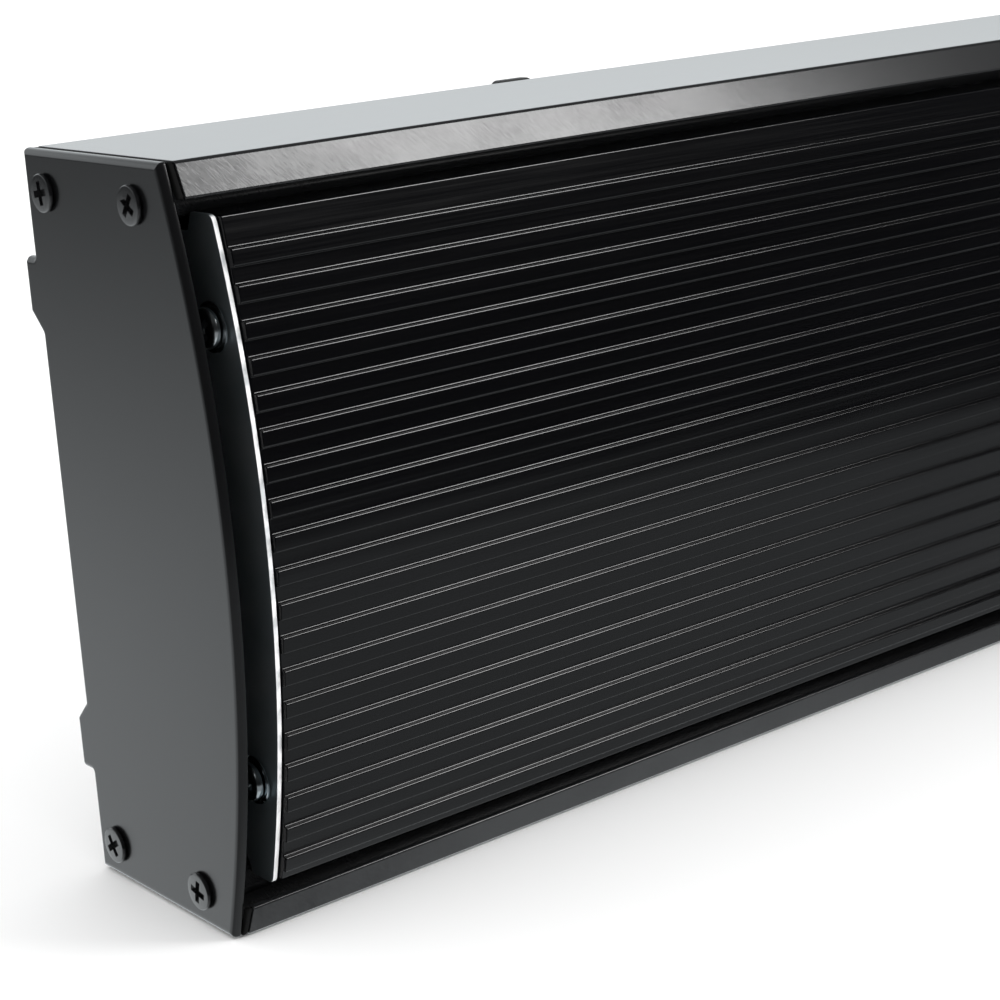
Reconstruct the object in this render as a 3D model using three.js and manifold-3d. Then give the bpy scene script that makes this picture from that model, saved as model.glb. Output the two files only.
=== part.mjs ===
// A radiant strip heater: a long extruded housing with pressed end caps, a bowed and ribbed emitter
// panel held between two end brackets, its heating parts and wiring, and two tilting wall brackets that
// slide on the housing's rear rails.
//
// Millimetres, +Z up. The heater faces -Y and is long in X. Sections are drawn with y = 0 on the
// housing's front corners and z = 0 on its underside. The last lines move the whole heater back, so that
// the origin is at the centre of its underside.

import * as THREE from "three";
import { mergeVertices } from "three/addons/utils/BufferGeometryUtils.js";
import Module from "manifold-3d";

const wasm = await Module();
wasm.setup();

// Overall size
const LENGTH = 1000;
const HEIGHT = 185;
const DEPTH = 62;
const MID_Z = HEIGHT / 2;
const GAP = 0.3;

// Housing section: walls, slanting front lips and rear rails with T-slots
const WALL = 2;
const LIP_HEIGHT = 8.3;
const LIP_LEAN = 3.6;
const RAIL_RISE = 5;
const RAIL_INNER_Z = 47.5;
const RAIL_OUTER_Z = 66.2;
const SLOT_Z = 59;
const SLOT_MOUTH = 6;
const SLOT_WIDTH = 9.8;
const SLOT_FLOOR_Y = DEPTH - 1;
const SLOT_LIP = 1.7;

// Screw ports along the housing, and the holes through its back
const PORT_RADIUS = 4.6;
const PORT_BORE = 2.3;
const PORT_WEB = 3;
const BACK_HOLE = 2.4;
const GLAND_HOLE = 8.3;

// End caps
const CAP_THICKNESS = 2.4;
const CAP_BEVEL = 1.1;
const CAP_BOW_FRONT_Y = -13.3;
const CAP_BOW_RADIUS = 315;
const CAP_HOLE = 2.7;
const CAP_SCREW_Y = [12.6, 52.5];
const CAP_SCREW_Z = [9, 175];
const CAP_RIB_REACH = 5;
const CAP_RIB_THICKNESS = 1.5;
const CAP_RIB_Y = [20, 46];
const CAP_RIB_Z = [50, HEIGHT - 50];

// Screws
const CAP_SCREW = { headRadius: 4.7, headHeight: 1.2, shankRadius: 2, length: 18 };
const BRACKET_SCREW = { headRadius: 3.9, headHeight: 2.2, shankRadius: 1.8, length: 14 };
const BACK_SCREW = { headRadius: 4, headHeight: 2.3, shankRadius: 1.9, length: 12 };
const EARTH_STUD = { headRadius: 4, headHeight: 2.3, shankRadius: 2, length: 16 };
const SCREW_HOLE = 2.3;
const WASHER = { inner: 2.3, outer: 5.3, thickness: 0.8 };

// Emitter panel and heating elements
const PANEL_HALF_HEIGHT = 79.6;
const PANEL_BOW_RADIUS = 360;
const PANEL_FRONT_Y = -14.2;
const PANEL_END = 12.4;
const PANEL_WEB = 3.6;
const PANEL_RETURN_Y = 8.2;
const PANEL_RETURN_WALL = 2.2;
const PANEL_PORT_RADIUS = 3.9;
const PANEL_PORT_BORE = 2.1;
const RIB_COUNT = 19;
const RIB_PITCH = 8.1;
const RIB_STEP = 1.4;
const FIRST_LEDGE = 72.5;
const CRADLE_HALF = 7;
const ELEMENT_Z = [-28, 28];
const ELEMENT_RADIUS = 4;
const ELEMENT_SETBACK = 22;
const ELEMENT_SEAL = { radius: 3.2, length: 7 };
const ELEMENT_PIN = { radius: 1.5, length: 14 };

// End brackets of the panel
const BRACKET_THICKNESS = 1.2;
const BRACKET_FRONT_Y = -12.85;
const BRACKET_BOW_RADIUS = 308;
const BRACKET_FACE = PANEL_END - GAP - BRACKET_THICKNESS;
const BRACKET_ABOVE = 0.3;
const BRACKET_BELOW = 1.2;
const BRACKET_CORNER = 4;
const BRACKET_NOTCH_Y = 6.5;
const BRACKET_NOTCH = 4.5;
const BRACKET_TAPER_Y = [30, 42];
const BRACKET_NECK = 34;
const BRACKET_SCREW_Y = 0.5;
const BRACKET_SCREW_Z = 54.5;
const BRACKET_FLANGE = 15;
const FLANGE_SCREW_INSET = 9;
const FLANGE_SCREW_Z = 18;

// Insulation: a shallow tray behind the panel with a fibre board in it
const TRAY_X = LENGTH / 2 - 40;
const TRAY_HALF_HEIGHT = 74;
const TRAY_FRONT_Y = 7;
const TRAY_BACK_Y = 21;
const TRAY_SHEET = 1;
const BOARD_THICKNESS = 12;
const BOARD_SHORTER = 2;

// Cable gland: [radius, distance] sections from the start of each piece
const GLAND_X = 450;
const GLAND_BODY_Y = 48;
const GLAND_BODY = [
  [4.4, 0],
  [7.9, 0],
  [7.9, 14.3],
  [10.6, 14.3],
  [10.6, 19.3],
  [8.2, 19.3],
  [8.2, 25],
  [4.4, 25],
  [4.4, 0],
];
const GLAND_DOME_Y = 68;
const GLAND_DOME = [
  [8.5, 0],
  [10.9, 0],
  [10.9, 7],
  [9.2, 11],
  [6.6, 13.2],
  [4.9, 13.2],
  [4.9, 9],
  [8.5, 7],
  [8.5, 0],
];
const GLAND_SEAL_Y = 75.5;
const GLAND_SEAL = { inner: 3.3, outer: 4.6, thickness: 5 };
const LOCK_NUT = { y: 54.5, acrossFlats: 22, hole: 8.2, length: 5 };

// Terminals, thermal cut-out and wiring
const BLOCK_X = 405;
const BLOCK_HALF = { x: 20, z: 9 };
const BLOCK_FRONT_Y = 44;
const BLOCK_WAYS = [-12, 0, 12];
const BLOCK_WIRE_Y = 51;
const BLOCK_WIRE_HOLE = 2.2;
const BLOCK_SCREW_HOLE = 2.6;
const CUTOUT_X = 60;
const CUTOUT_Z = MID_Z + 20;
const CUTOUT_RADIUS = 8;
const CUTOUT_HEIGHT = 8;
const CUTOUT_FLANGE = { halfX: 12, halfZ: 4, thickness: 1.5 };
const CUTOUT_TAB = { x: 3, thickness: 1, halfZ: 3, length: 7 };
const EARTH_X = 380;
const EARTH_Z = MID_Z + 26;
const EARTH_NUT = { acrossFlats: 7, hole: 2.3, length: 3.2 };
const WIRE_RADIUS = 1.4;

// Wall brackets: a strap that slides on the rails and a plate that tilts on the strap's ears
const STRAP_X = 343;
const STRAP_WIDTH = 30;
const STRAP_THICKNESS = 3;
const STRAP_FRONT_Y = DEPTH + RAIL_RISE + GAP;
const STRAP_BACK_Y = STRAP_FRONT_Y + STRAP_THICKNESS;
const STRAP_TIP = 6;
const STRAP_TAPER = 22;
const STRAP_BOTTOM = 2;
const STRAP_TOP = HEIGHT - 0.2;
const STRAP_EAR_HALF = 16;
const STRAP_EAR_RISE = 6;
const EAR_RADIUS = 12;
const EAR_PLAY = 0.4;
const PIVOT_Y = 92;
const PIVOT_HOLE = 3.3;
const PIVOT_BOLT = { radius: 3, acrossFlats: 10, head: 4, beyond: 8 };
const PIVOT_NUT_LENGTH = 6;
const PLATE_FRONT_Y = 108;
const PLATE_BACK_Y = 111;
const PLATE_WIDTH = 50;
const PLATE_HALF_HEIGHT = 32;
const PLATE_CORNER = 5;
const PLATE_SLOT = { x: 16, z: 20, radius: 2.8, half: 4 };
const RAIL_BOLT = { radius: 2.5, acrossFlats: 8, head: 3.4, length: 16.5 };
const RAIL_BOLT_HOLE = 2.8;
const RAIL_NUT_LENGTH = 4.7;

// Round pieces
const ROUND_SIDES = 20;
const HOLE_SIDES = 16;
const SMALL_SIDES = 12;

const X = new THREE.Vector3(1, 0, 0);
const Y = new THREE.Vector3(0, 1, 0);
const Z = new THREE.Vector3(0, 0, 1);
const forward = new THREE.Vector3(0, -1, 0);

const finish = (color, roughness, metalness) =>
  new THREE.MeshStandardMaterial({ color, roughness, metalness });
const finishes = {
  housing: finish(0x26282a, 0.35, 0.6),
  cap: finish(0x3a3c3f, 0.45, 0.5),
  blackScrew: finish(0x17181a, 0.25, 0.7),
  panel: finish(0x101113, 0.3, 0.6),
  zinc: finish(0xa9b0b6, 0.35, 0.9),
  sheath: finish(0x6b5f55, 0.5, 0.8),
  insulation: finish(0xe6e0d2, 0.95, 0),
  tray: finish(0xc3c7c9, 0.3, 0.9),
  ceramic: finish(0xe9e5da, 0.4, 0),
  plastic: finish(0x1b1c1e, 0.55, 0),
  brass: finish(0xb8923f, 0.35, 0.9),
  rubber: finish(0x111111, 0.8, 0),
  steel: finish(0x2a2c2e, 0.4, 0.7),
  live: finish(0x7a4a2a, 0.6, 0),
  neutral: finish(0x2f5f9e, 0.6, 0),
  earth: finish(0x5f9a3a, 0.6, 0),
};

const heater = new THREE.Group();

// Adds one named piece to the heater.
function addPiece(name, shape, material) {
  const geometry = shape.isBufferGeometry ? shape : geometryOf(shape);
  const mesh = new THREE.Mesh(geometry, material);
  mesh.name = name;
  heater.add(mesh);
  return mesh;
}

// A closed geometry as a solid that can be joined and cut.
function solidOf(geometry) {
  const bare = geometry.clone();
  bare.deleteAttribute("normal");
  bare.deleteAttribute("uv");
  const merged = mergeVertices(bare, 1e-4);
  return new wasm.Manifold(
    new wasm.Mesh({
      numProp: 3,
      vertProperties: new Float32Array(merged.attributes.position.array),
      triVerts: new Uint32Array(merged.index.array),
    }),
  );
}

// A joined or cut solid as a geometry.
function geometryOf(solid) {
  const mesh = solid.getMesh();
  const geometry = new THREE.BufferGeometry();
  geometry.setAttribute("position", new THREE.BufferAttribute(mesh.vertProperties, 3));
  geometry.setIndex(new THREE.BufferAttribute(mesh.triVerts, 1));
  geometry.computeVertexNormals();
  return geometry;
}

// Joins several solids.
const join = (...solids) => solids.reduce((a, b) => a.add(b));

// Cuts several solids from the first.
const cut = (first, ...others) => others.reduce((a, b) => a.subtract(b), first);

// A closed outline from a list of [across, up] points.
const outline = (points) => new THREE.Shape(points.map(([a, b]) => new THREE.Vector2(a, b)));

// The points of an arc round (a, b), from one angle to another in degrees.
function arc(a, b, radius, from, to, steps) {
  return Array.from({ length: steps + 1 }, (_, i) => {
    const angle = THREE.MathUtils.degToRad(from + ((to - from) * i) / steps);
    return [a + radius * Math.cos(angle), b + radius * Math.sin(angle)];
  });
}

// An outline in (y, z), extruded along X from x0 to x1.
function alongX(shape, x0, x1, options = {}) {
  const geometry = new THREE.ExtrudeGeometry(shape, {
    depth: x1 - x0,
    bevelEnabled: false,
    curveSegments: 8,
    ...options,
  });
  geometry.applyMatrix4(new THREE.Matrix4().makeBasis(Y, Z, X));
  geometry.translate(x0, 0, 0);
  return solidOf(geometry);
}

// An outline in (x, z), extruded along Y from y0 to y1.
function alongY(shape, y0, y1) {
  const geometry = new THREE.ExtrudeGeometry(shape, {
    depth: y1 - y0,
    bevelEnabled: false,
    curveSegments: 8,
  });
  geometry.applyMatrix4(new THREE.Matrix4().makeBasis(X, Z, forward));
  geometry.translate(0, y1, 0);
  return solidOf(geometry);
}

// A block between two corners.
function block(x0, x1, y0, y1, z0, z1) {
  const geometry = new THREE.BoxGeometry(x1 - x0, y1 - y0, z1 - z0);
  geometry.translate((x0 + x1) / 2, (y0 + y1) / 2, (z0 + z1) / 2);
  return solidOf(geometry);
}

// A turned piece: [radius, distance] points along direction, from its start at (x, y, z).
function turned(points, direction, x, y, z, sides = ROUND_SIDES) {
  const geometry = new THREE.LatheGeometry(
    points.map(([r, d]) => new THREE.Vector2(r, d)),
    sides,
  );
  const turn = new THREE.Quaternion().setFromUnitVectors(Y, direction);
  geometry.applyMatrix4(new THREE.Matrix4().makeRotationFromQuaternion(turn));
  geometry.translate(x, y, z);
  return solidOf(geometry);
}

// A round bar or hole along direction.
const bar = (radius, length, direction, x, y, z, sides = HOLE_SIDES) =>
  turned(
    [
      [0, 0],
      [radius, 0],
      [radius, length],
      [0, length],
    ],
    direction,
    x,
    y,
    z,
    sides,
  );

// A pan-head screw: its head stands on the surface at (x, y, z) and its shank goes along direction.
const panScrew = ({ headRadius, headHeight, shankRadius, length }, direction, x, y, z) =>
  turned(
    [
      [0, -headHeight],
      [headRadius * 0.55, -headHeight * 0.94],
      [headRadius * 0.88, -headHeight * 0.62],
      [headRadius, -headHeight * 0.2],
      [headRadius, 0],
      [shankRadius, 0],
      [shankRadius, length - shankRadius],
      [0, length],
    ],
    direction,
    x,
    y,
    z,
    SMALL_SIDES,
  );

// A washer or flat ring.
const ring = ({ inner, outer, thickness }, direction, x, y, z) =>
  turned(
    [
      [inner, 0],
      [outer, 0],
      [outer, thickness],
      [inner, thickness],
      [inner, 0],
    ],
    direction,
    x,
    y,
    z,
    HOLE_SIDES,
  );

// A hexagonal nut or bolt head along direction, with a hole where inner is above 0.
function hexagon(acrossFlats, inner, length, direction, x, y, z) {
  const body = bar(acrossFlats / Math.sqrt(3), length, direction, x, y, z, 6);
  if (!inner) return body;
  const start = new THREE.Vector3(x, y, z).addScaledVector(direction, -1);
  return body.subtract(bar(inner, length + 2, direction, start.x, start.y, start.z));
}

// The front of a bowed surface at height z: a circle about the heater's middle height.
const bow = (frontY, radius, z) => {
  const rise = z - MID_Z;
  return frontY + radius - Math.sqrt(radius * radius - rise * rise);
};

// Points down a bowed surface from one height to another.
const bowPoints = (frontY, radius, fromZ, toZ, steps) =>
  Array.from({ length: steps + 1 }, (_, i) => {
    const z = fromZ + ((toZ - fromZ) * i) / steps;
    return [bow(frontY, radius, z), z];
  });

const leftX = -LENGTH / 2;
const ends = [
  { side: "left", sign: -1 },
  { side: "right", sign: 1 },
];
const levels = [
  { level: "lower", up: -1 },
  { level: "upper", up: 1 },
];

// A slab between two distances from one end's outer face, measured inwards.
const inwards = (sign, near, far) => {
  const a = (sign * LENGTH) / 2 - sign * near;
  const b = (sign * LENGTH) / 2 - sign * far;
  return [Math.min(a, b), Math.max(a, b)];
};

// Where the screws through a panel bracket's rear flange stand along X.
const flangeScrewX = (sign) => sign * (LENGTH / 2 - BRACKET_FACE - FLANGE_SCREW_INSET);

// Rear rail: a ridge whose slope faces the middle, in the (y, z) plane.
const railPoints = (up) =>
  [
    [0, RAIL_INNER_Z],
    [RAIL_RISE, RAIL_INNER_Z + RAIL_RISE],
    [RAIL_RISE, RAIL_OUTER_Z - 1],
    [RAIL_RISE - 1, RAIL_OUTER_Z],
    [0, RAIL_OUTER_Z],
  ].map(([y, z]) => [DEPTH + y, MID_Z + up * z]);

// The lower front lip, from the housing's outer corner round to the inner face of the bottom wall. It
// leans forward as it leaves the corner, and the upper lip is its mirror image.
function lipPoints() {
  const slant = Math.hypot(LIP_LEAN, LIP_HEIGHT);
  const inwardY = (WALL * LIP_HEIGHT) / slant;
  const inwardZ = (WALL * LIP_LEAN) / slant;
  return [
    [0, 0],
    [-LIP_LEAN, LIP_HEIGHT],
    [-LIP_LEAN + inwardY, LIP_HEIGHT + inwardZ],
    [inwardY - ((WALL - inwardZ) * LIP_LEAN) / LIP_HEIGHT, WALL],
  ];
}

function makeHousing() {
  const x0 = leftX + CAP_THICKNESS + GAP;
  const x1 = -x0;
  const channel = outline([
    ...lipPoints().reverse(),
    [DEPTH, 0],
    [DEPTH, HEIGHT],
    ...lipPoints().map(([y, z]) => [y, HEIGHT - z]),
    [DEPTH - WALL, HEIGHT - WALL],
    [DEPTH - WALL, WALL],
  ]);
  let housing = alongX(channel, x0, x1);
  for (const { up } of levels) {
    const rail = railPoints(up);
    const rootY = DEPTH - WALL / 2;
    const ridge = outline([[rootY, rail[0][1]], ...rail, [rootY, rail[rail.length - 1][1]]]);
    const slotZ = MID_Z + up * SLOT_Z;
    const mouthY = DEPTH + RAIL_RISE - SLOT_LIP;
    housing = cut(
      join(housing, alongX(ridge, x0, x1)),
      block(x0 - 1, x1 + 1, SLOT_FLOOR_Y, mouthY, slotZ - SLOT_WIDTH / 2, slotZ + SLOT_WIDTH / 2),
      block(x0 - 1, x1 + 1, mouthY - 1, mouthY + 5, slotZ - SLOT_MOUTH / 2, slotZ + SLOT_MOUTH / 2),
    );
  }
  for (const y of CAP_SCREW_Y) {
    for (const z of CAP_SCREW_Z) {
      const wallZ = z < MID_Z ? WALL / 2 : HEIGHT - WALL / 2;
      const port = bar(PORT_RADIUS, x1 - x0, X, x0, y, z, SMALL_SIDES);
      const web = block(x0, x1, y - PORT_WEB, y + PORT_WEB, Math.min(z, wallZ), Math.max(z, wallZ));
      const bore = bar(PORT_BORE, x1 - x0 + 2, X, x0 - 1, y, z, SMALL_SIDES);
      housing = cut(join(housing, port, web), bore);
    }
  }
  const backHole = (radius, x, z) => bar(radius, 4 * WALL, Y, x, DEPTH - 2 * WALL, z);
  for (const { sign } of ends) {
    for (const { up } of levels) {
      housing = housing.subtract(backHole(BACK_HOLE, flangeScrewX(sign), MID_Z + up * FLANGE_SCREW_Z));
    }
  }
  housing = cut(housing, backHole(GLAND_HOLE, GLAND_X, MID_Z), backHole(BACK_HOLE, EARTH_X, EARTH_Z));
  addPiece("housing", housing, finishes.housing);
}

// An end cap: a plate with the housing's outline, rail tabs, a bowed and bevelled front, and three
// inner ribs that locate it inside the housing's walls.
function makeEndCap(side, sign) {
  const shape = outline([
    ...bowPoints(CAP_BOW_FRONT_Y, CAP_BOW_RADIUS, HEIGHT, 0, 20),
    [DEPTH, 0],
    ...railPoints(-1).reverse(),
    ...railPoints(1),
    [DEPTH, HEIGHT],
  ]);
  const [x0, x1] = inwards(sign, 0, CAP_THICKNESS);
  const bevelled = alongX(shape, ...inwards(sign, CAP_BEVEL, 2 * CAP_THICKNESS), {
    bevelEnabled: true,
    bevelThickness: CAP_BEVEL,
    bevelSize: CAP_BEVEL,
    bevelOffset: -CAP_BEVEL,
    bevelSegments: 2,
  });
  let cap = bevelled.intersect(block(x0, x1, CAP_BOW_FRONT_Y - 5, DEPTH + 20, -5, HEIGHT + 5));
  const [ribX0, ribX1] = inwards(sign, CAP_THICKNESS / 2, CAP_THICKNESS + CAP_RIB_REACH);
  const near = WALL + GAP;
  const far = near + CAP_RIB_THICKNESS;
  cap = join(
    cap,
    block(ribX0, ribX1, ...CAP_RIB_Y, near, far),
    block(ribX0, ribX1, ...CAP_RIB_Y, HEIGHT - far, HEIGHT - near),
    block(ribX0, ribX1, DEPTH - far, DEPTH - near, ...CAP_RIB_Z),
  );
  for (const y of CAP_SCREW_Y) {
    for (const z of CAP_SCREW_Z) {
      cap = cap.subtract(bar(CAP_HOLE, 20, X, (sign * LENGTH) / 2 - 10, y, z, SMALL_SIDES));
    }
  }
  addPiece(side + "_end_cap", cap, finishes.cap);
}

function makeCapScrews(side, sign) {
  const inward = X.clone().multiplyScalar(-sign);
  const x = sign * (LENGTH / 2 + GAP);
  CAP_SCREW_Y.forEach((y, i) => {
    CAP_SCREW_Z.forEach((z, j) => {
      const name = `${side}_cap_screw_${["front", "rear"][i]}_${["lower", "upper"][j]}`;
      addPiece(name, panScrew(CAP_SCREW, inward, x, y, z), finishes.blackScrew);
    });
  });
}

// The emitter: a bowed web with square ribs outside, returns along both edges, cradles for the heating
// elements and ports for the bracket screws.
function makeEmitterPanel() {
  const recessedY = PANEL_FRONT_Y + RIB_STEP;
  const top = MID_Z + PANEL_HALF_HEIGHT;
  const bottom = MID_Z - PANEL_HALF_HEIGHT;
  const front = [[bow(recessedY, PANEL_BOW_RADIUS, top), top]];
  for (let i = 0; i < RIB_COUNT; i++) {
    const ledge = MID_Z + FIRST_LEDGE - i * RIB_PITCH;
    const under = Math.max(ledge - RIB_PITCH / 2, bottom);
    front.push([bow(recessedY, PANEL_BOW_RADIUS, ledge), ledge]);
    front.push([bow(PANEL_FRONT_Y, PANEL_BOW_RADIUS, ledge), ledge]);
    front.push([bow(PANEL_FRONT_Y, PANEL_BOW_RADIUS, under), under]);
    front.push([bow(recessedY, PANEL_BOW_RADIUS, under), under]);
  }
  front.push([bow(recessedY, PANEL_BOW_RADIUS, bottom), bottom]);
  const innerTop = top - PANEL_RETURN_WALL;
  const innerBottom = bottom + PANEL_RETURN_WALL;
  const shape = outline([
    ...front,
    [PANEL_RETURN_Y, bottom],
    [PANEL_RETURN_Y, innerBottom],
    ...bowPoints(PANEL_FRONT_Y + PANEL_WEB, PANEL_BOW_RADIUS, innerBottom, innerTop, 12),
    [PANEL_RETURN_Y, innerTop],
    [PANEL_RETURN_Y, top],
  ]);
  const x1 = LENGTH / 2 - PANEL_END;
  const webY = (z) => bow(PANEL_FRONT_Y, PANEL_BOW_RADIUS, z) + PANEL_WEB - 1;
  const through = (radius, y, z) => bar(radius, 2 * x1 + 2, X, -x1 - 1, y, z, SMALL_SIDES);
  let panel = alongX(shape, -x1, x1);
  for (const rise of ELEMENT_Z) {
    const z = MID_Z + rise;
    const y = elementY(z);
    panel = cut(
      join(panel, block(-x1, x1, webY(z), y + 1, z - CRADLE_HALF, z + CRADLE_HALF)),
      through(ELEMENT_RADIUS + GAP, y, z),
      block(-x1 - 1, x1 + 1, y, y + 5, z - ELEMENT_RADIUS, z + ELEMENT_RADIUS),
    );
  }
  for (const { up } of levels) {
    const z = MID_Z + up * BRACKET_SCREW_Z;
    const y = BRACKET_SCREW_Y;
    const port = bar(PANEL_PORT_RADIUS, 2 * x1, X, -x1, y, z, SMALL_SIDES);
    const web = block(-x1, x1, webY(z), y, z - PANEL_PORT_BORE, z + PANEL_PORT_BORE);
    panel = cut(join(panel, port, web), through(PANEL_PORT_BORE, y, z));
  }
  addPiece("emitter_panel", panel, finishes.panel);
}

// A heating element lies against the back of the panel's web.
const elementY = (z) => bow(PANEL_FRONT_Y + PANEL_WEB, PANEL_BOW_RADIUS, z) + ELEMENT_RADIUS + 1.2;

function makeHeatingElements() {
  const start = -(LENGTH / 2 - PANEL_END - ELEMENT_SETBACK);
  const length = -2 * start;
  const seal = ELEMENT_SEAL;
  const pin = ELEMENT_PIN;
  const section = [
    [0, -pin.length],
    [pin.radius, -pin.length],
    [pin.radius, -seal.length],
    [seal.radius, -seal.length],
    [seal.radius, 0],
    [ELEMENT_RADIUS, 0],
    [ELEMENT_RADIUS, length],
    [seal.radius, length],
    [seal.radius, length + seal.length],
    [pin.radius, length + seal.length],
    [pin.radius, length + pin.length],
    [0, length + pin.length],
  ];
  ELEMENT_Z.forEach((rise, i) => {
    const z = MID_Z + rise;
    const element = turned(section, X, start, elementY(z), z, SMALL_SIDES);
    addPiece(`heating_element_${["lower", "upper"][i]}`, element, finishes.sheath);
  });
}

// A bracket on each end of the panel: a plate whose front follows the panel, with a rear flange that is
// screwed to the housing's back wall.
function makePanelBracket(side, sign) {
  const top = MID_Z + PANEL_HALF_HEIGHT + BRACKET_ABOVE;
  const bottom = MID_Z - PANEL_HALF_HEIGHT - BRACKET_BELOW;
  const corner = BRACKET_CORNER;
  const backY = DEPTH - WALL - GAP;
  const neckTop = MID_Z + BRACKET_NECK;
  const neckBottom = MID_Z - BRACKET_NECK;
  const [taperY0, taperY1] = BRACKET_TAPER_Y;
  const topCorner = bow(BRACKET_FRONT_Y, BRACKET_BOW_RADIUS, top - corner);
  const bottomCorner = bow(BRACKET_FRONT_Y, BRACKET_BOW_RADIUS, bottom + corner);
  const shape = outline([
    ...bowPoints(BRACKET_FRONT_Y, BRACKET_BOW_RADIUS, top - corner, bottom + corner, 16),
    ...arc(bottomCorner + corner, bottom + corner, corner, 180, 270, 4).slice(1),
    [BRACKET_NOTCH_Y, bottom],
    [BRACKET_NOTCH_Y + 2, bottom + BRACKET_NOTCH],
    [taperY0, bottom + BRACKET_NOTCH],
    [taperY1, neckBottom],
    [backY, neckBottom],
    [backY, neckTop],
    [taperY1, neckTop],
    [taperY0, top - BRACKET_NOTCH],
    [BRACKET_NOTCH_Y + 2, top - BRACKET_NOTCH],
    [BRACKET_NOTCH_Y, top],
    ...arc(topCorner + corner, top - corner, corner, 90, 180, 4).slice(0, -1),
  ]);
  const plate = alongX(shape, ...inwards(sign, BRACKET_FACE, BRACKET_FACE + BRACKET_THICKNESS));
  const [flangeX0, flangeX1] = inwards(sign, BRACKET_FACE, BRACKET_FACE + BRACKET_FLANGE);
  const flange = block(flangeX0, flangeX1, backY - BRACKET_THICKNESS, backY, neckBottom, neckTop);
  let bracket = join(plate, flange);
  const holeX = sign * (LENGTH / 2 - BRACKET_FACE) - 5;
  for (const { up } of levels) {
    const screwZ = MID_Z + up * BRACKET_SCREW_Z;
    const flangeZ = MID_Z + up * FLANGE_SCREW_Z;
    bracket = cut(
      bracket,
      bar(SCREW_HOLE, 10, X, holeX, BRACKET_SCREW_Y, screwZ, SMALL_SIDES),
      bar(SCREW_HOLE, 6, Y, flangeScrewX(sign), backY - 4, flangeZ, SMALL_SIDES),
    );
  }
  addPiece(side + "_panel_bracket", bracket, finishes.zinc);
}

function makeBracketScrews(side, sign) {
  const inward = X.clone().multiplyScalar(-sign);
  const outward = X.clone().multiplyScalar(sign);
  const washerX = sign * (LENGTH / 2 - BRACKET_FACE + GAP);
  const screwX = washerX + sign * (WASHER.thickness + GAP);
  for (const { level, up } of levels) {
    const z = MID_Z + up * BRACKET_SCREW_Z;
    const washer = ring(WASHER, outward, washerX, BRACKET_SCREW_Y, z);
    const screw = panScrew(BRACKET_SCREW, inward, screwX, BRACKET_SCREW_Y, z);
    const backZ = MID_Z + up * FLANGE_SCREW_Z;
    const backScrew = panScrew(BACK_SCREW, forward, flangeScrewX(sign), DEPTH + GAP, backZ);
    addPiece(`${side}_bracket_washer_${level}`, washer, finishes.zinc);
    addPiece(`${side}_bracket_screw_${level}`, screw, finishes.zinc);
    addPiece(`${side}_back_screw_${level}`, backScrew, finishes.blackScrew);
  }
}

// A bright tray behind the panel, open to the front, with a fibre board lying in it.
function makeInsulation() {
  const bottom = MID_Z - TRAY_HALF_HEIGHT;
  const top = MID_Z + TRAY_HALF_HEIGHT;
  const floorY = TRAY_BACK_Y - TRAY_SHEET;
  const section = outline([
    [TRAY_FRONT_Y, bottom],
    [TRAY_BACK_Y, bottom],
    [TRAY_BACK_Y, top],
    [TRAY_FRONT_Y, top],
    [TRAY_FRONT_Y, top - TRAY_SHEET],
    [floorY, top - TRAY_SHEET],
    [floorY, bottom + TRAY_SHEET],
    [TRAY_FRONT_Y, bottom + TRAY_SHEET],
  ]);
  addPiece("reflector_tray", alongX(section, -TRAY_X, TRAY_X), finishes.tray);
  const boardX = TRAY_X - BOARD_SHORTER;
  const boardBack = floorY - GAP;
  const inset = TRAY_SHEET + GAP;
  const board = block(-boardX, boardX, boardBack - BOARD_THICKNESS, boardBack, bottom + inset, top - inset);
  addPiece("insulation_board", board, finishes.insulation);
}

// The gland's body goes through the housing's back wall, with a lock nut inside and a dome nut outside.
function makeGland() {
  const body = turned(GLAND_BODY, Y, GLAND_X, GLAND_BODY_Y, MID_Z);
  const dome = turned(GLAND_DOME, Y, GLAND_X, GLAND_DOME_Y, MID_Z);
  const { acrossFlats, hole, length, y } = LOCK_NUT;
  addPiece("cable_gland_body", body, finishes.plastic);
  addPiece(
    "cable_gland_lock_nut",
    hexagon(acrossFlats, hole, length, Y, GLAND_X, y, MID_Z),
    finishes.plastic,
  );
  addPiece("cable_gland_dome_nut", dome, finishes.plastic);
  addPiece("cable_gland_seal", ring(GLAND_SEAL, Y, GLAND_X, GLAND_SEAL_Y, MID_Z), finishes.rubber);
}

function makeTerminalBlock() {
  const backY = DEPTH - WALL - GAP;
  const bottom = MID_Z - BLOCK_HALF.z;
  const top = MID_Z + BLOCK_HALF.z;
  let body = block(BLOCK_X - BLOCK_HALF.x, BLOCK_X + BLOCK_HALF.x, BLOCK_FRONT_Y, backY, bottom, top);
  for (const offset of BLOCK_WAYS) {
    const x = BLOCK_X + offset;
    body = cut(
      body,
      bar(BLOCK_WIRE_HOLE, 2 * BLOCK_HALF.z + 2, Z, x, BLOCK_WIRE_Y, bottom - 1, 10),
      bar(BLOCK_SCREW_HOLE, BLOCK_WIRE_Y - BLOCK_FRONT_Y, Y, x, BLOCK_FRONT_Y - 1, MID_Z, 10),
    );
  }
  addPiece("terminal_block", body, finishes.ceramic);
}

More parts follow.
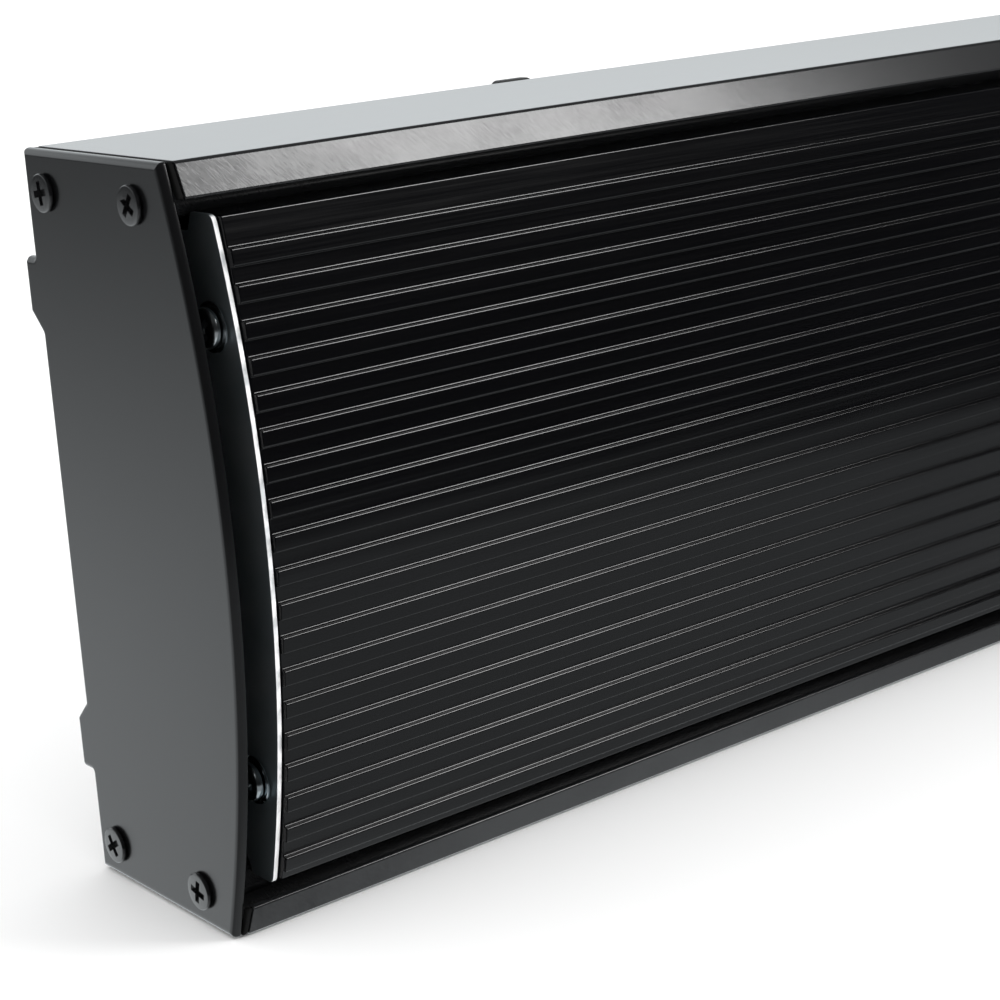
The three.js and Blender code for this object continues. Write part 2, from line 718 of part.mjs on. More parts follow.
// The thermal cut-out sits on the tray's back: a round body on a flange, with two blade terminals.
function makeThermalCutout() {
  const y = TRAY_BACK_Y + GAP;
  const { halfX, halfZ, thickness } = CUTOUT_FLANGE;
  const parts = [
    bar(CUTOUT_RADIUS, CUTOUT_HEIGHT, Y, CUTOUT_X, y, CUTOUT_Z, ROUND_SIDES),
    block(CUTOUT_X - halfX, CUTOUT_X + halfX, y, y + thickness, CUTOUT_Z - halfZ, CUTOUT_Z + halfZ),
  ];
  for (const out of [-1, 1]) {
    const x = CUTOUT_X + out * CUTOUT_TAB.x - CUTOUT_TAB.thickness / 2;
    const endY = y + CUTOUT_HEIGHT + CUTOUT_TAB.length;
    const tabZ = [CUTOUT_Z - CUTOUT_TAB.halfZ, CUTOUT_Z + CUTOUT_TAB.halfZ];
    parts.push(block(x, x + CUTOUT_TAB.thickness, y + CUTOUT_HEIGHT - 1, endY, ...tabZ));
  }
  addPiece("thermal_cutout", join(...parts), finishes.plastic);
}

function makeEarthTerminal() {
  const { acrossFlats, hole, length } = EARTH_NUT;
  const insideY = DEPTH - WALL - GAP;
  const stud = panScrew(EARTH_STUD, forward, EARTH_X, DEPTH + GAP, EARTH_Z);
  const nut = hexagon(acrossFlats, hole, length, forward, EARTH_X, insideY, EARTH_Z);
  addPiece("earth_stud", stud, finishes.brass);
  addPiece("earth_nut", nut, finishes.brass);
}

// An internal wire along a list of points.
function addWire(name, points, material) {
  const path = new THREE.CatmullRomCurve3(
    points.map((p) => new THREE.Vector3(...p)),
    false,
    "centripetal",
  );
  const section = outline(arc(0, 0, WIRE_RADIUS, 0, 300, 5));
  const geometry = new THREE.ExtrudeGeometry(section, {
    steps: 6 * (points.length - 1),
    extrudePath: path,
    bevelEnabled: false,
  });
  addPiece(name, solidOf(geometry), material);
}

// The wires start just above or below the terminal block's three ways.
function makeWires() {
  const [liveX, neutralX, earthX] = BLOCK_WAYS.map((offset) => BLOCK_X + offset);
  const top = MID_Z + BLOCK_HALF.z + GAP + WIRE_RADIUS;
  const bottom = MID_Z - BLOCK_HALF.z - GAP - WIRE_RADIUS;
  const cutoutTabY = TRAY_BACK_Y + CUTOUT_HEIGHT + CUTOUT_TAB.length + 4;
  const elementEnd = LENGTH / 2 - PANEL_END - ELEMENT_SETBACK + 1;
  const livePoints = [
    [liveX, BLOCK_WIRE_Y, top],
    [liveX - 1, 47, top + 8],
    [liveX - 20, 36, top + 12],
    [200, 34, top + 12],
    [CUTOUT_X + 30, 35, top + 10],
    [CUTOUT_X + 8, cutoutTabY, CUTOUT_Z + 1],
  ];
  const neutralPoints = [
    [neutralX, BLOCK_WIRE_Y, bottom],
    [neutralX - 2, 50, bottom - 9],
    [neutralX + 20, 38, bottom - 19],
    [elementEnd - 4, 28, bottom - 19],
    [elementEnd, 14, bottom - 18],
  ];
  const earthPoints = [
    [earthX, BLOCK_WIRE_Y, top],
    [earthX - 1, 50, top + 8],
    [earthX - 16, 50, top + 16],
    [EARTH_X + 6, BLOCK_WIRE_Y, EARTH_Z + 3],
  ];
  addWire("live_wire", livePoints, finishes.live);
  addWire("neutral_wire", neutralPoints, finishes.neutral);
  addWire("earth_wire", earthPoints, finishes.earth);
}

// One ear of a bracket: an outline in (y, z) whose outer face is reach away from the bracket's centre.
function earPlate(shape, centreX, out, reach) {
  const outer = centreX + out * reach;
  const inner = centreX + out * (reach - STRAP_THICKNESS);
  return alongX(shape, Math.min(outer, inner), Math.max(outer, inner));
}

// The hole for the pivot bolt through both ears.
const pivotHole = (centreX) => bar(PIVOT_HOLE, 40, X, centreX - 20, PIVOT_Y, MID_Z);

// A rail strap: a bar across both rails with tapered ends, and two ears for the pivot.
function makeStrap(side, centreX) {
  const half = STRAP_WIDTH / 2;
  const bar0 = STRAP_BOTTOM + STRAP_TAPER;
  const bar1 = STRAP_TOP - STRAP_TAPER;
  const shape = outline([
    [centreX - STRAP_TIP, STRAP_BOTTOM],
    [centreX + STRAP_TIP, STRAP_BOTTOM],
    [centreX + half, bar0],
    [centreX + half, bar1],
    [centreX + STRAP_TIP, STRAP_TOP],
    [centreX - STRAP_TIP, STRAP_TOP],
    [centreX - half, bar1],
    [centreX - half, bar0],
  ]);
  let strap = alongY(shape, STRAP_FRONT_Y, STRAP_BACK_Y);
  const ear = outline([
    [STRAP_BACK_Y - 1, MID_Z - STRAP_EAR_HALF],
    [STRAP_BACK_Y + STRAP_EAR_RISE, MID_Z - STRAP_EAR_HALF],
    ...arc(PIVOT_Y, MID_Z, EAR_RADIUS, -60, 60, 6),
    [STRAP_BACK_Y + STRAP_EAR_RISE, MID_Z + STRAP_EAR_HALF],
    [STRAP_BACK_Y - 1, MID_Z + STRAP_EAR_HALF],
  ]);
  for (const out of [-1, 1]) {
    strap = strap.add(earPlate(ear, centreX, out, half));
  }
  strap = strap.subtract(pivotHole(centreX));
  for (const { up } of levels) {
    const z = MID_Z + up * SLOT_Z;
    const hole = bar(RAIL_BOLT_HOLE, STRAP_THICKNESS + 2, Y, centreX, STRAP_FRONT_Y - 1, z, SMALL_SIDES);
    strap = strap.subtract(hole);
  }
  addPiece(side + "_rail_strap", strap, finishes.steel);
}

// T-bolts whose heads run in the rails' slots, and their nuts behind the strap.
function makeRailBolts(side, centreX) {
  const headY = SLOT_FLOOR_Y + GAP;
  const { radius, acrossFlats, head, length } = RAIL_BOLT;
  for (const { level, up } of levels) {
    const z = MID_Z + up * SLOT_Z;
    const bolt = join(
      hexagon(acrossFlats, 0, head, Y, centreX, headY, z),
      bar(radius, length - 1, Y, centreX, headY + 1, z, SMALL_SIDES),
    );
    const nut = hexagon(acrossFlats, RAIL_BOLT_HOLE, RAIL_NUT_LENGTH, Y, centreX, STRAP_BACK_Y + GAP, z);
    addPiece(`${side}_rail_bolt_${level}`, bolt, finishes.zinc);
    addPiece(`${side}_rail_nut_${level}`, nut, finishes.zinc);
  }
}

// A wall plate: a slotted plate with two ears that sit between the strap's ears.
function makeWallPlate(side, centreX) {
  const cornerX = PLATE_WIDTH / 2 - PLATE_CORNER;
  const cornerZ = PLATE_HALF_HEIGHT - PLATE_CORNER;
  const shape = outline([
    ...arc(centreX - cornerX, MID_Z - cornerZ, PLATE_CORNER, 180, 270, 3),
    ...arc(centreX + cornerX, MID_Z - cornerZ, PLATE_CORNER, 270, 360, 3),
    ...arc(centreX + cornerX, MID_Z + cornerZ, PLATE_CORNER, 0, 90, 3),
    ...arc(centreX - cornerX, MID_Z + cornerZ, PLATE_CORNER, 90, 180, 3),
  ]);
  let plate = alongY(shape, PLATE_FRONT_Y, PLATE_BACK_Y);
  const ear = outline([
    [PLATE_FRONT_Y + 1, MID_Z - EAR_RADIUS],
    [PLATE_FRONT_Y + 1, MID_Z + EAR_RADIUS],
    ...arc(PIVOT_Y, MID_Z, EAR_RADIUS, 90, 270, 8),
  ]);
  for (const out of [-1, 1]) {
    plate = plate.add(earPlate(ear, centreX, out, STRAP_WIDTH / 2 - STRAP_THICKNESS - EAR_PLAY));
  }
  plate = plate.subtract(pivotHole(centreX));
  const { radius, half } = PLATE_SLOT;
  for (const out of [-1, 1]) {
    for (const { up } of levels) {
      const x = centreX + out * PLATE_SLOT.x;
      const z = MID_Z + up * PLATE_SLOT.z;
      const lowerEnd = arc(x, z - half, radius, 180, 360, 6);
      const upperEnd = arc(x, z + half, radius, 0, 180, 6);
      const slot = outline([...lowerEnd, ...upperEnd]);
      plate = plate.subtract(alongY(slot, PLATE_FRONT_Y - 1, PLATE_BACK_Y + 1));
    }
  }
  addPiece(side + "_wall_plate", plate, finishes.steel);
}

// The pivot bolt runs through all four ears along X, with its nut at the other end.
function makePivot(side, centreX) {
  const half = STRAP_WIDTH / 2;
  const headX = centreX + half + GAP;
  const { radius, acrossFlats, head, beyond } = PIVOT_BOLT;
  const bolt = join(
    hexagon(acrossFlats, 0, head, X, headX, PIVOT_Y, MID_Z),
    bar(radius, 2 * half + beyond + 1, X, centreX - half - beyond, PIVOT_Y, MID_Z),
  );
  const outward = X.clone().negate();
  const nutX = centreX - half - GAP;
  const nut = hexagon(acrossFlats, PIVOT_HOLE, PIVOT_NUT_LENGTH, outward, nutX, PIVOT_Y, MID_Z);
  addPiece(side + "_pivot_bolt", bolt, finishes.zinc);
  addPiece(side + "_pivot_nut", nut, finishes.zinc);
}

makeHousing();
for (const { side, sign } of ends) {
  makeEndCap(side, sign);
  makeCapScrews(side, sign);
  makePanelBracket(side, sign);
  makeBracketScrews(side, sign);
}
makeEmitterPanel();
makeHeatingElements();
makeInsulation();
makeGland();
makeTerminalBlock();
makeThermalCutout();
makeEarthTerminal();
makeWires();
for (const { side, sign } of ends) {
  const centreX = sign * STRAP_X;
  makeStrap(side, centreX);
  makeRailBolts(side, centreX);
  makeWallPlate(side, centreX);
  makePivot(side, centreX);
}

heater.position.y = -(PANEL_FRONT_Y + PLATE_BACK_Y) / 2;

export default heater;
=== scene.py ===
"""A radiant strip heater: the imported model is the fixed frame, and every piece that shows is rebuilt
around it with rounded edges, real fasteners and procedural finishes.

Sections are drawn in millimetres as (y, z), with y = 0 on the housing's front corners and z = 0 on its
underside, and turned into metres when a mesh is made.
"""

import math

import bmesh
import bpy
from mathutils import Matrix, Vector


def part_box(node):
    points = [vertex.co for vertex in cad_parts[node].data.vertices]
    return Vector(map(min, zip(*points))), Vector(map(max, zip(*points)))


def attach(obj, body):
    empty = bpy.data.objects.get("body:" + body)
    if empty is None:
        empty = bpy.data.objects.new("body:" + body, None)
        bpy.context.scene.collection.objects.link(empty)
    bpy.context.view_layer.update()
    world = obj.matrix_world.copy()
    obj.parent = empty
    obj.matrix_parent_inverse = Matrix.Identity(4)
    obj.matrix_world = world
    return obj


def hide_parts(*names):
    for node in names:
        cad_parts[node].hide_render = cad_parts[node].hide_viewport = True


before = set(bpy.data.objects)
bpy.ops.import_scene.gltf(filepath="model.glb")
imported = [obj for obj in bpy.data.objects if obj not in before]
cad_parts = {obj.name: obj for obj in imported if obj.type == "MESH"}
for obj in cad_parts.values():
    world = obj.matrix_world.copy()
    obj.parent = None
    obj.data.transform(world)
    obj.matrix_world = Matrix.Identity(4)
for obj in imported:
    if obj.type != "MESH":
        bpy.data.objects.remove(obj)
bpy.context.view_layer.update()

MM = 0.001

# Driving sizes, read from the frame where a node's box gives them
housing_low, housing_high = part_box("housing")
cap_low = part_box("left_end_cap")[0]
panel_low, panel_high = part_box("emitter_panel")
bracket_low, bracket_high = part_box("left_panel_bracket")

HEIGHT = (housing_high.z - housing_low.z) / MM
MID_Z = HEIGHT / 2
DEPTH = 62
WALL = 2
RAIL_RISE = 5
FRONT_Y = housing_high.y / MM - DEPTH - RAIL_RISE
LENGTH = -2 * cap_low.x / MM
LIP_HEIGHT = 8.3
LIP_LEAN = 3.6
LIP_FOLD_ROUND = 1.3
LIP_TIP_ROUND = 0.5
RAIL_INNER = 47.5
RAIL_OUTER = 66.2
SLOT_Z = 59
SLOT_MOUTH = 6
SLOT_WIDTH = 9.8
SLOT_LIP = 1.7

# Screw ports in the housing, and the cap screws that run in them
PORT_RADIUS = 4.6
PORT_BORE = 2.3
PORT_WEB = 3
PORT_ROWS_Y = (52.5, 12.6)
PORT_SLOT_ANGLE = 20
LOWER_PORT_Z = 9
UPPER_PORT_Z = 175

# End caps
CAP_FRONT = -13.3
CAP_BOW = 315
CAP_THICKNESS = 2.4
CAP_RIM = 1.8
CAP_INNER_RIM = 0.35
CAP_TIP_ROUND = 0.8
CAP_BACK_ROUND = 0.9

# End gaskets: each fills the last of the housing's length, with a gap before the housing's visible end,
# and is set in a little from the housing's outline
GASKET_THICKNESS = 1.2
GASKET_GAP = 0.3
GASKET_INSET = 0.15

# Emitter panel
PANEL_FRONT = -14.2
PANEL_BOW = 360
PANEL_WEB = 3.6
RETURN_BACK = 8.2
RETURN_WALL = 2.2
RIB_COUNT = 19
RIB_PITCH = 8.1
RIB_STEP = 1.4
FIRST_LEDGE = 72.5
LEDGE_ROUND = 0.5

# Panel brackets
BRACKET_FRONT = -12.85
BRACKET_BOW = 308
BRACKET_THICKNESS = 1.2
BRACKET_CORNER = 2.2
BRACKET_NOTCH_Y = 6.5
BRACKET_NOTCH = 4.5
BRACKET_TAPER_Y = (30, 42)
BRACKET_NECK = 34
BRACKET_FLANGE = 15

# Screws, as head radius, head height, shank radius and length; washers, as inner and outer radius and
# thickness
CAP_SCREW = (4.7, 1.2, 2, 18)
BRACKET_SCREW = (4.9, 2.2, 1.8, 14)
BACK_SCREW = (4, 2.3, 1.9, 12)
WASHER = (2.3, 6, 0.8)
WASHER_EDGE = 0.2

# A cross recess's size and depth as shares of the head's radius, and half an arm's width as a share of
# the recess's size
RECESS_SIZE = 1.25
RECESS_DEPTH = 0.45
RECESS_WING = 0.14

# Wall brackets
STRAP_TIP = 6
STRAP_TAPER = 22
STRAP_SHEET = 3
SHEET_RIMS = (0.4, 0.4)
STRAP_EAR_HALF = 16
STRAP_EAR_RISE = 6
EAR_RADIUS = 12
EAR_PLAY = 0.4
PIVOT_Y = 92
PLATE_CORNER = 5
PLATE_SLOT_X = 16
PLATE_SLOT_Z = 20
PLATE_SLOT_HALF = 4
PLATE_SLOT_RADIUS = 2.8

# The wall brackets' bolts and nuts. A head and its shank run into each other by the overlap.
OVERLAP = 0.1
RAIL_BOLT_ACROSS_FLATS = 8
RAIL_BOLT_HEAD = 3.3
RAIL_BOLT_RADIUS = 2.5
RAIL_BOLT_PITCH = 0.8
RAIL_NUT_BORE = 2.6
PIVOT_ACROSS_FLATS = 10
PIVOT_HEAD = 4
PIVOT_RADIUS = 3
PIVOT_PITCH = 1
PIVOT_PLAIN_LENGTH = 26
PIVOT_NUT_BORE = 3.1

# Cable gland
GLAND_FLANGE_START = 14.3
GLAND_FLANGE_ACROSS_FLATS = 18.3
GLAND_FLANGE_BORE = 8
GLAND_FLANGE_LENGTH = 5
LOCK_NUT_ACROSS_FLATS = 22
LOCK_NUT_BORE = 8.2

# Smooth shading stops at edges sharper than this, in degrees
CREASE = 32

ENDS = (("left", -1), ("right", 1))
LEVELS = (("lower", -1), ("upper", 1))


# ---------------------------------------------------------------- outlines


def arc(centre, radius, start, end, steps):
    """Points round a centre from one angle to another, in degrees."""
    angles = [math.radians(start + (end - start) * i / steps) for i in range(steps + 1)]
    return [(centre[0] + radius * math.cos(a), centre[1] + radius * math.sin(a)) for a in angles]


def rounded(corners, steps=4):
    """A closed outline from (across, up, radius) corners, each with a radius drawn as an arc."""
    points = []
    count = len(corners)
    for i, (a, b, radius) in enumerate(corners):
        here = Vector((a, b))
        before = (Vector(corners[i - 1][:2]) - here).normalized()
        after = (Vector(corners[(i + 1) % count][:2]) - here).normalized()
        bend = before.angle(after)
        if radius <= 0 or bend > math.radians(175):
            points.append((a, b))
            continue
        reach = radius / math.tan(bend / 2)
        centre = here + (before + after).normalized() * (radius / math.sin(bend / 2))
        first = here + before * reach - centre
        last = here + after * reach - centre
        turn = math.atan2(first.x * last.y - first.y * last.x, first.dot(last))
        start = math.atan2(first.y, first.x)
        for k in range(steps + 1):
            angle = start + turn * k / steps
            points.append((centre.x + radius * math.cos(angle), centre.y + radius * math.sin(angle)))
    return points


def area_of(points):
    """The signed area of a closed outline."""
    return sum(p[0] * q[1] - q[0] * p[1] for p, q in zip(points, points[1:] + points[:1])) / 2


def plain(points):
    """Points as corners without a radius."""
    return [(a, b, 0) for a, b in points]


def mirrored(corners):
    """(y, z, radius) corners turned over about the heater's middle height, in the opposite order."""
    return [(y, HEIGHT - z, radius) for y, z, radius in reversed(corners)]


def inset(corners, distance):
    """Corners with every side moved inwards. Outer radii shrink and inner ones grow to match."""
    side = 1 if area_of(corners) > 0 else -1
    result = []
    for before, here, after in zip(corners[-1:] + corners[:-1], corners, corners[1:] + corners[:1]):
        d1 = (Vector(here[:2]) - Vector(before[:2])).normalized()
        d2 = (Vector(after[:2]) - Vector(here[:2])).normalized()
        n1 = Vector((-d1.y, d1.x)) * side
        n2 = Vector((-d2.y, d2.x)) * side
        shift = (n1 + n2) * (distance / max(0.3, 1 + n1.dot(n2)))
        convex = (d1.x * d2.y - d1.y * d2.x) * side > 0
        radius = here[2] and max(0.03, here[2] - distance if convex else here[2] + distance)
        result.append((here[0] + shift.x, here[1] + shift.y, radius))
    return result


def bow(front, radius, z):
    """The front of a bowed surface at a height: a circle about the heater's middle height."""
    rise = z - MID_Z
    return front + radius - math.sqrt(radius * radius - rise * rise)


def bow_points(front, radius, start, end, steps):
    """Points down a bowed surface from one height to another."""
    heights = [start + (end - start) * i / steps for i in range(steps + 1)]
    return [(bow(front, radius, z), z) for z in heights]


# ---------------------------------------------------------------- meshes

PLACE = {
    "X": lambda a, b, s: Vector((s, a + FRONT_Y, b)) * MM,
    "Y": lambda a, b, s: Vector((a, s + FRONT_Y, b)) * MM,
    "Z": lambda a, b, s: Vector((a, b + FRONT_Y, s)) * MM,
}


ALONG = {"X": Vector((1, 0, 0)), "Y": Vector((0, 1, 0))}


def skin(bm, rings):
    """Four-cornered faces between rings of the same length."""
    for low, high in zip(rings, rings[1:]):
        for i in range(len(low)):
            j = (i + 1) % len(low)
            bm.faces.new((low[i], low[j], high[j], high[i]))


def loft(bm, loops):
    """Joins loops of the same length into a skin, with a face on each end."""
    rings = [[bm.verts.new(p) for p in loop] for loop in loops]
    skin(bm, rings)
    bm.faces.new(list(reversed(rings[0])))
    bm.faces.new(rings[-1])


def bar_axes(axis, origin):
    """The direction of a signed axis, two directions across it, and the place in millimetres to start."""
    along = ALONG[axis[-1]] * (-1 if axis[0] == "-" else 1)
    across = Vector((0, 0, 1))
    base = Vector((origin[0], origin[1] + FRONT_Y, origin[2]))
    return along, across, along.cross(across), base


def ring_round(bm, axes, points):
    """A ring of vertices at (angle, radius, distance) points about a bar's axes."""
    along, across, other, base = axes
    ring = []
    for angle, radius, distance in points:
        out = (across * math.cos(angle) + other * math.sin(angle)) * radius
        ring.append(bm.verts.new((base + along * distance + out) * MM))
    return ring


def creased(bm, degrees=CREASE):
    """Smooth shading, with crisp edges where two faces meet at more than the given angle."""
    limit = math.radians(degrees)
    for face in bm.faces:
        face.smooth = True
    for edge in bm.edges:
        edge.smooth = len(edge.link_faces) == 2 and edge.calc_face_angle(0) < limit


def prism(bm, corners, axis, start, end, edges=(0.25, 0.25), steps=3, corner_steps=4):
    """Extrudes (across, up, radius) corners along an axis, with rounded rims of the given radii at
    start and end."""
    place = PLACE[axis]
    rims = []
    for radius, depth, inwards in ((edges[0], start, 1), (edges[1], end, -1)):
        rim = []
        for k in range(steps + 1) if radius else [steps]:
            angle = math.pi / 2 * k / steps
            shift = radius * (1 - math.sin(angle))
            rim.append((shift, depth + inwards * radius * (1 - math.cos(angle))))
        rims.append(rim)
    rows = rims[0] + rims[1][::-1]
    outlines = [(rounded(inset(corners, shift), corner_steps), depth) for shift, depth in rows]
    loft(bm, [[place(a, b, depth) for a, b in outline] for outline, depth in outlines])


def turned(bm, section, axis, origin, sides=48, flutes=None):
    """Turns a closed (radius, distance) section about an axis through origin, given in millimetres.
    flutes is (count, depth), which waves the radius round the axis."""
    along = ALONG[axis[-1]] * (-1 if axis[0] == "-" else 1)
    across = along.orthogonal().normalized()
    other = along.cross(across)
    base = Vector((origin[0], origin[1] + FRONT_Y, origin[2]))
    rings = []
    for radius, distance in section:
        if radius <= 0:
            rings.append([bm.verts.new((base + along * distance) * MM)])
            continue
        points = []
        for i in range(sides):
            angle = 2 * math.pi * i / sides
            dip = flutes[1] * (0.5 - 0.5 * math.cos(flutes[0] * angle)) ** 2 if flutes else 0
            points.append((angle, radius - dip, distance))
        rings.append(ring_round(bm, (along, across, other, base), points))
    pairs = list(zip(rings, rings[1:]))
    if section[0][0] > 0:
        pairs.append((rings[-1], rings[0]))
    for low, high in pairs:
        for i in range(sides):
            j = (i + 1) % sides
            corners = (low[i % len(low)], low[j % len(low)], high[j % len(high)], high[i % len(high)])
            face = list(dict.fromkeys(corners))
            if len(face) > 2:
                bm.faces.new(face)


def hexagon(bm, axis, origin, across_flats, bore, length, chamfers=(True, True)):
    """A hexagonal nut or bolt head with chamfered corners. origin is the middle of its first face."""
    sides = 72
    flat = across_flats / 2
    rows = []

    def hex_radius(angle):
        return flat / math.cos((angle + math.pi / 6) % (math.pi / 3) - math.pi / 6)

    def row(distance, radius_of, lift=0):
        rows.append([(a, radius_of(a), distance + lift * max(0, radius_of(a) - flat)) for a in angles])

    angles = [2 * math.pi * i / sides for i in range(sides)]
    slope = math.tan(math.radians(30))
    chamfer = 0.04 * flat
    if chamfers[0]:
        row(0, lambda a: flat - chamfer)
        row(chamfer * slope, hex_radius, slope)
    else:
        row(0, hex_radius)
    if chamfers[1]:
        row(length - chamfer * slope, hex_radius, -slope)
        row(length, lambda a: flat - chamfer)
    else:
        row(length, hex_radius)
    if bore:
        row(length, lambda a: bore * 1.12)
        row(length - bore * 0.12, lambda a: bore)
        row(bore * 0.12, lambda a: bore)
        row(0, lambda a: bore * 1.12)
    axes = bar_axes(axis, origin)
    rings = [ring_round(bm, axes, points) for points in rows]
    if bore:
        rings.append(rings[0])
    else:
        bm.faces.new(rings[0])
        bm.faces.new(rings[-1])
    skin(bm, rings)


def threaded_bar(bm, axis, origin, radius, length, pitch, unthreaded=0):
    """A bar with a helical thread, from origin along axis, after a length left without thread."""
    sides = 24
    rows_per_turn = 6
    depth = 0.55 * pitch
    turns = (length - unthreaded) / pitch
    axes = bar_axes(axis, origin)
    distances = [0, unthreaded] if unthreaded else [0]
    steps = int(turns * rows_per_turn)
    distances += [unthreaded + (length - unthreaded) * (k + 1) / steps for k in range(steps)]
    rings = []
    for distance in distances:
        run_in = max(0, distance - unthreaded) / pitch
        run_out = max(0, length - distance) / pitch + 0.2
        fade = min(1, run_in, run_out)
        taper = max(0, distance - length + pitch * 0.8)
        points = []
        for i in range(sides):
            phase = (distance / pitch - i / sides) % 1
            groove = depth * abs(2 * phase - 1) if distance > unthreaded else 0
            points.append((2 * math.pi * i / sides, radius - groove * fade - taper, distance))
        rings.append(ring_round(bm, axes, points))
    skin(bm, rings)
    bm.faces.new(rings[0])
    bm.faces.new(rings[-1])


def finished(name, bm, material, crease=CREASE):
    """Turns a bmesh into an object with smooth rounds, crisp edges and a material."""
    bmesh.ops.recalc_face_normals(bm, faces=bm.faces)
    creased(bm, crease)
    mesh = bpy.data.meshes.new(name)
    bm.to_mesh(mesh)
    bm.free()
    mesh.materials.append(material)
    piece = bpy.data.objects.new(name, mesh)
    bpy.context.scene.collection.objects.link(piece)
    weighted = piece.modifiers.new("even_normals", "WEIGHTED_NORMAL")
    weighted.keep_sharp = True
    return piece


def stand_for(piece, body, *nodes):
    """A piece rides on a body in place of CAD nodes."""
    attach(piece, body)
    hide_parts(*nodes)


def cutter_from(bm):
    """Turns a bmesh into an object that is only used to cut another one."""
    bmesh.ops.recalc_face_normals(bm, faces=bm.faces)
    mesh = bpy.data.meshes.new("cutter")
    bm.to_mesh(mesh)
    bm.free()
    cutter = bpy.data.objects.new("cutter", mesh)
    bpy.context.scene.collection.objects.link(cutter)
    return cutter


def carved(piece, *cutters):
    """Cuts other objects out of a piece and applies the result to its mesh."""
    bpy.context.view_layer.update()
    for cutter in cutters:
        step = piece.modifiers.new("carve", "BOOLEAN")
        step.operation = "DIFFERENCE"
        step.solver = "EXACT"
        step.object = cutter
        piece.modifiers.move(len(piece.modifiers) - 1, 0)
    piece.modifiers["even_normals"].show_viewport = False
    graph = bpy.context.evaluated_depsgraph_get()
    result = bpy.data.meshes.new_from_object(piece.evaluated_get(graph))
    for cutter in cutters:
        piece.modifiers.remove(piece.modifiers[0])
        bpy.data.objects.remove(cutter)
    piece.modifiers["even_normals"].show_viewport = True
    work = bmesh.new()
    work.from_mesh(result)
    creased(work)
    work.to_mesh(result)
    work.free()
    piece.data = result


# ---------------------------------------------------------------- finishes


def new_finish(name):
    """An empty node material with a Principled shader."""
    material = bpy.data.materials.new(name)
    material.use_nodes = True
    nodes = material.node_tree.nodes
    shader = nodes["Principled BSDF"]
    return material, nodes, material.node_tree.links, shader


def noise(nodes, links, scale, detail=3, stretch=(1, 1, 1), turn=(0, 0, 0)):
    """A noise texture in object space. scale is in cells per metre, stretch scales each of its own
    axes and turn leans them, in degrees."""
    place = nodes.new("ShaderNodeTexCoord")
    mapping = nodes.new("ShaderNodeMapping")
    mapping.vector_type = "TEXTURE"
    mapping.inputs["Scale"].default_value = [1 / s for s in stretch]
    mapping.inputs["Rotation"].default_value = [math.radians(a) for a in turn]
    texture = nodes.new("ShaderNodeTexNoise")
    texture.inputs["Scale"].default_value = scale
    texture.inputs["Detail"].default_value = detail
    links.new(place.outputs["Object"], mapping.inputs["Vector"])
    links.new(mapping.outputs["Vector"], texture.inputs["Vector"])
    return texture.outputs["Fac"]


def ranged(nodes, links, source, low, high, start=0.3, end=0.7, interpolation="LINEAR"):
    """Maps a shader value from start and end onto low and high."""
    node = nodes.new("ShaderNodeMapRange")
    node.interpolation_type = interpolation
    node.inputs["From Min"].default_value = start
    node.inputs["From Max"].default_value = end
    node.inputs["To Min"].default_value = low
    node.inputs["To Max"].default_value = high
    links.new(source, node.inputs["Value"])
    return node.outputs["Result"]


def tinted(nodes, links, source, low, high, start=0.3, end=0.7):
    """Maps a noise value onto a blend of two colours."""
    ramp = nodes.new("ShaderNodeValToRGB")
    ramp.color_ramp.elements[0].position = start
    ramp.color_ramp.elements[1].position = end
    ramp.color_ramp.elements[0].color = (*low, 1)
    ramp.color_ramp.elements[1].color = (*high, 1)
    links.new(source, ramp.inputs["Fac"])
    return ramp.outputs["Color"]


def blended(nodes, links, factor, low, high):
    """Blends two colours by a shader value. Each colour is an output socket or four numbers."""
    node = nodes.new("ShaderNodeMix")
    node.data_type = "RGBA"
    links.new(factor, node.inputs[0])
    for colour, socket in ((low, node.inputs[6]), (high, node.inputs[7])):
        if isinstance(colour, tuple):
            socket.default_value = colour
        else:
            links.new(colour, socket)
    return node.outputs[2]


def parts_of(nodes, links, source):
    """The x, y and z parts of a place or a direction."""
    split = nodes.new("ShaderNodeSeparateXYZ")
    links.new(source, split.inputs["Vector"])
    return split.outputs


def facing(nodes, links):
    """The x, y and z parts of the way that the surface faces."""
    return parts_of(nodes, links, nodes.new("ShaderNodeNewGeometry").outputs["Normal"])


def combined(nodes, links, operation, a, b):
    """Two shader values put through an operation of the Math node."""
    node = nodes.new("ShaderNodeMath")
    node.operation = operation
    links.new(a, node.inputs[0])
    links.new(b, node.inputs[1])
    return node.outputs["Value"]


def multiplied(nodes, links, a, b):
    """The product of two shader values."""
    return combined(nodes, links, "MULTIPLY", a, b)


def bumped(nodes, links, shader, *layers):
    """Chains bump layers, each (height, distance in metres, strength), into the shader's normal."""
    normal = None
    for height, distance, strength in layers:
        bump = nodes.new("ShaderNodeBump")
        bump.inputs["Distance"].default_value = distance
        bump.inputs["Strength"].default_value = strength
        links.new(height, bump.inputs["Height"])
        if normal:
            links.new(normal, bump.inputs["Normal"])
        normal = bump.outputs["Normal"]
    links.new(normal, shader.inputs["Normal"])


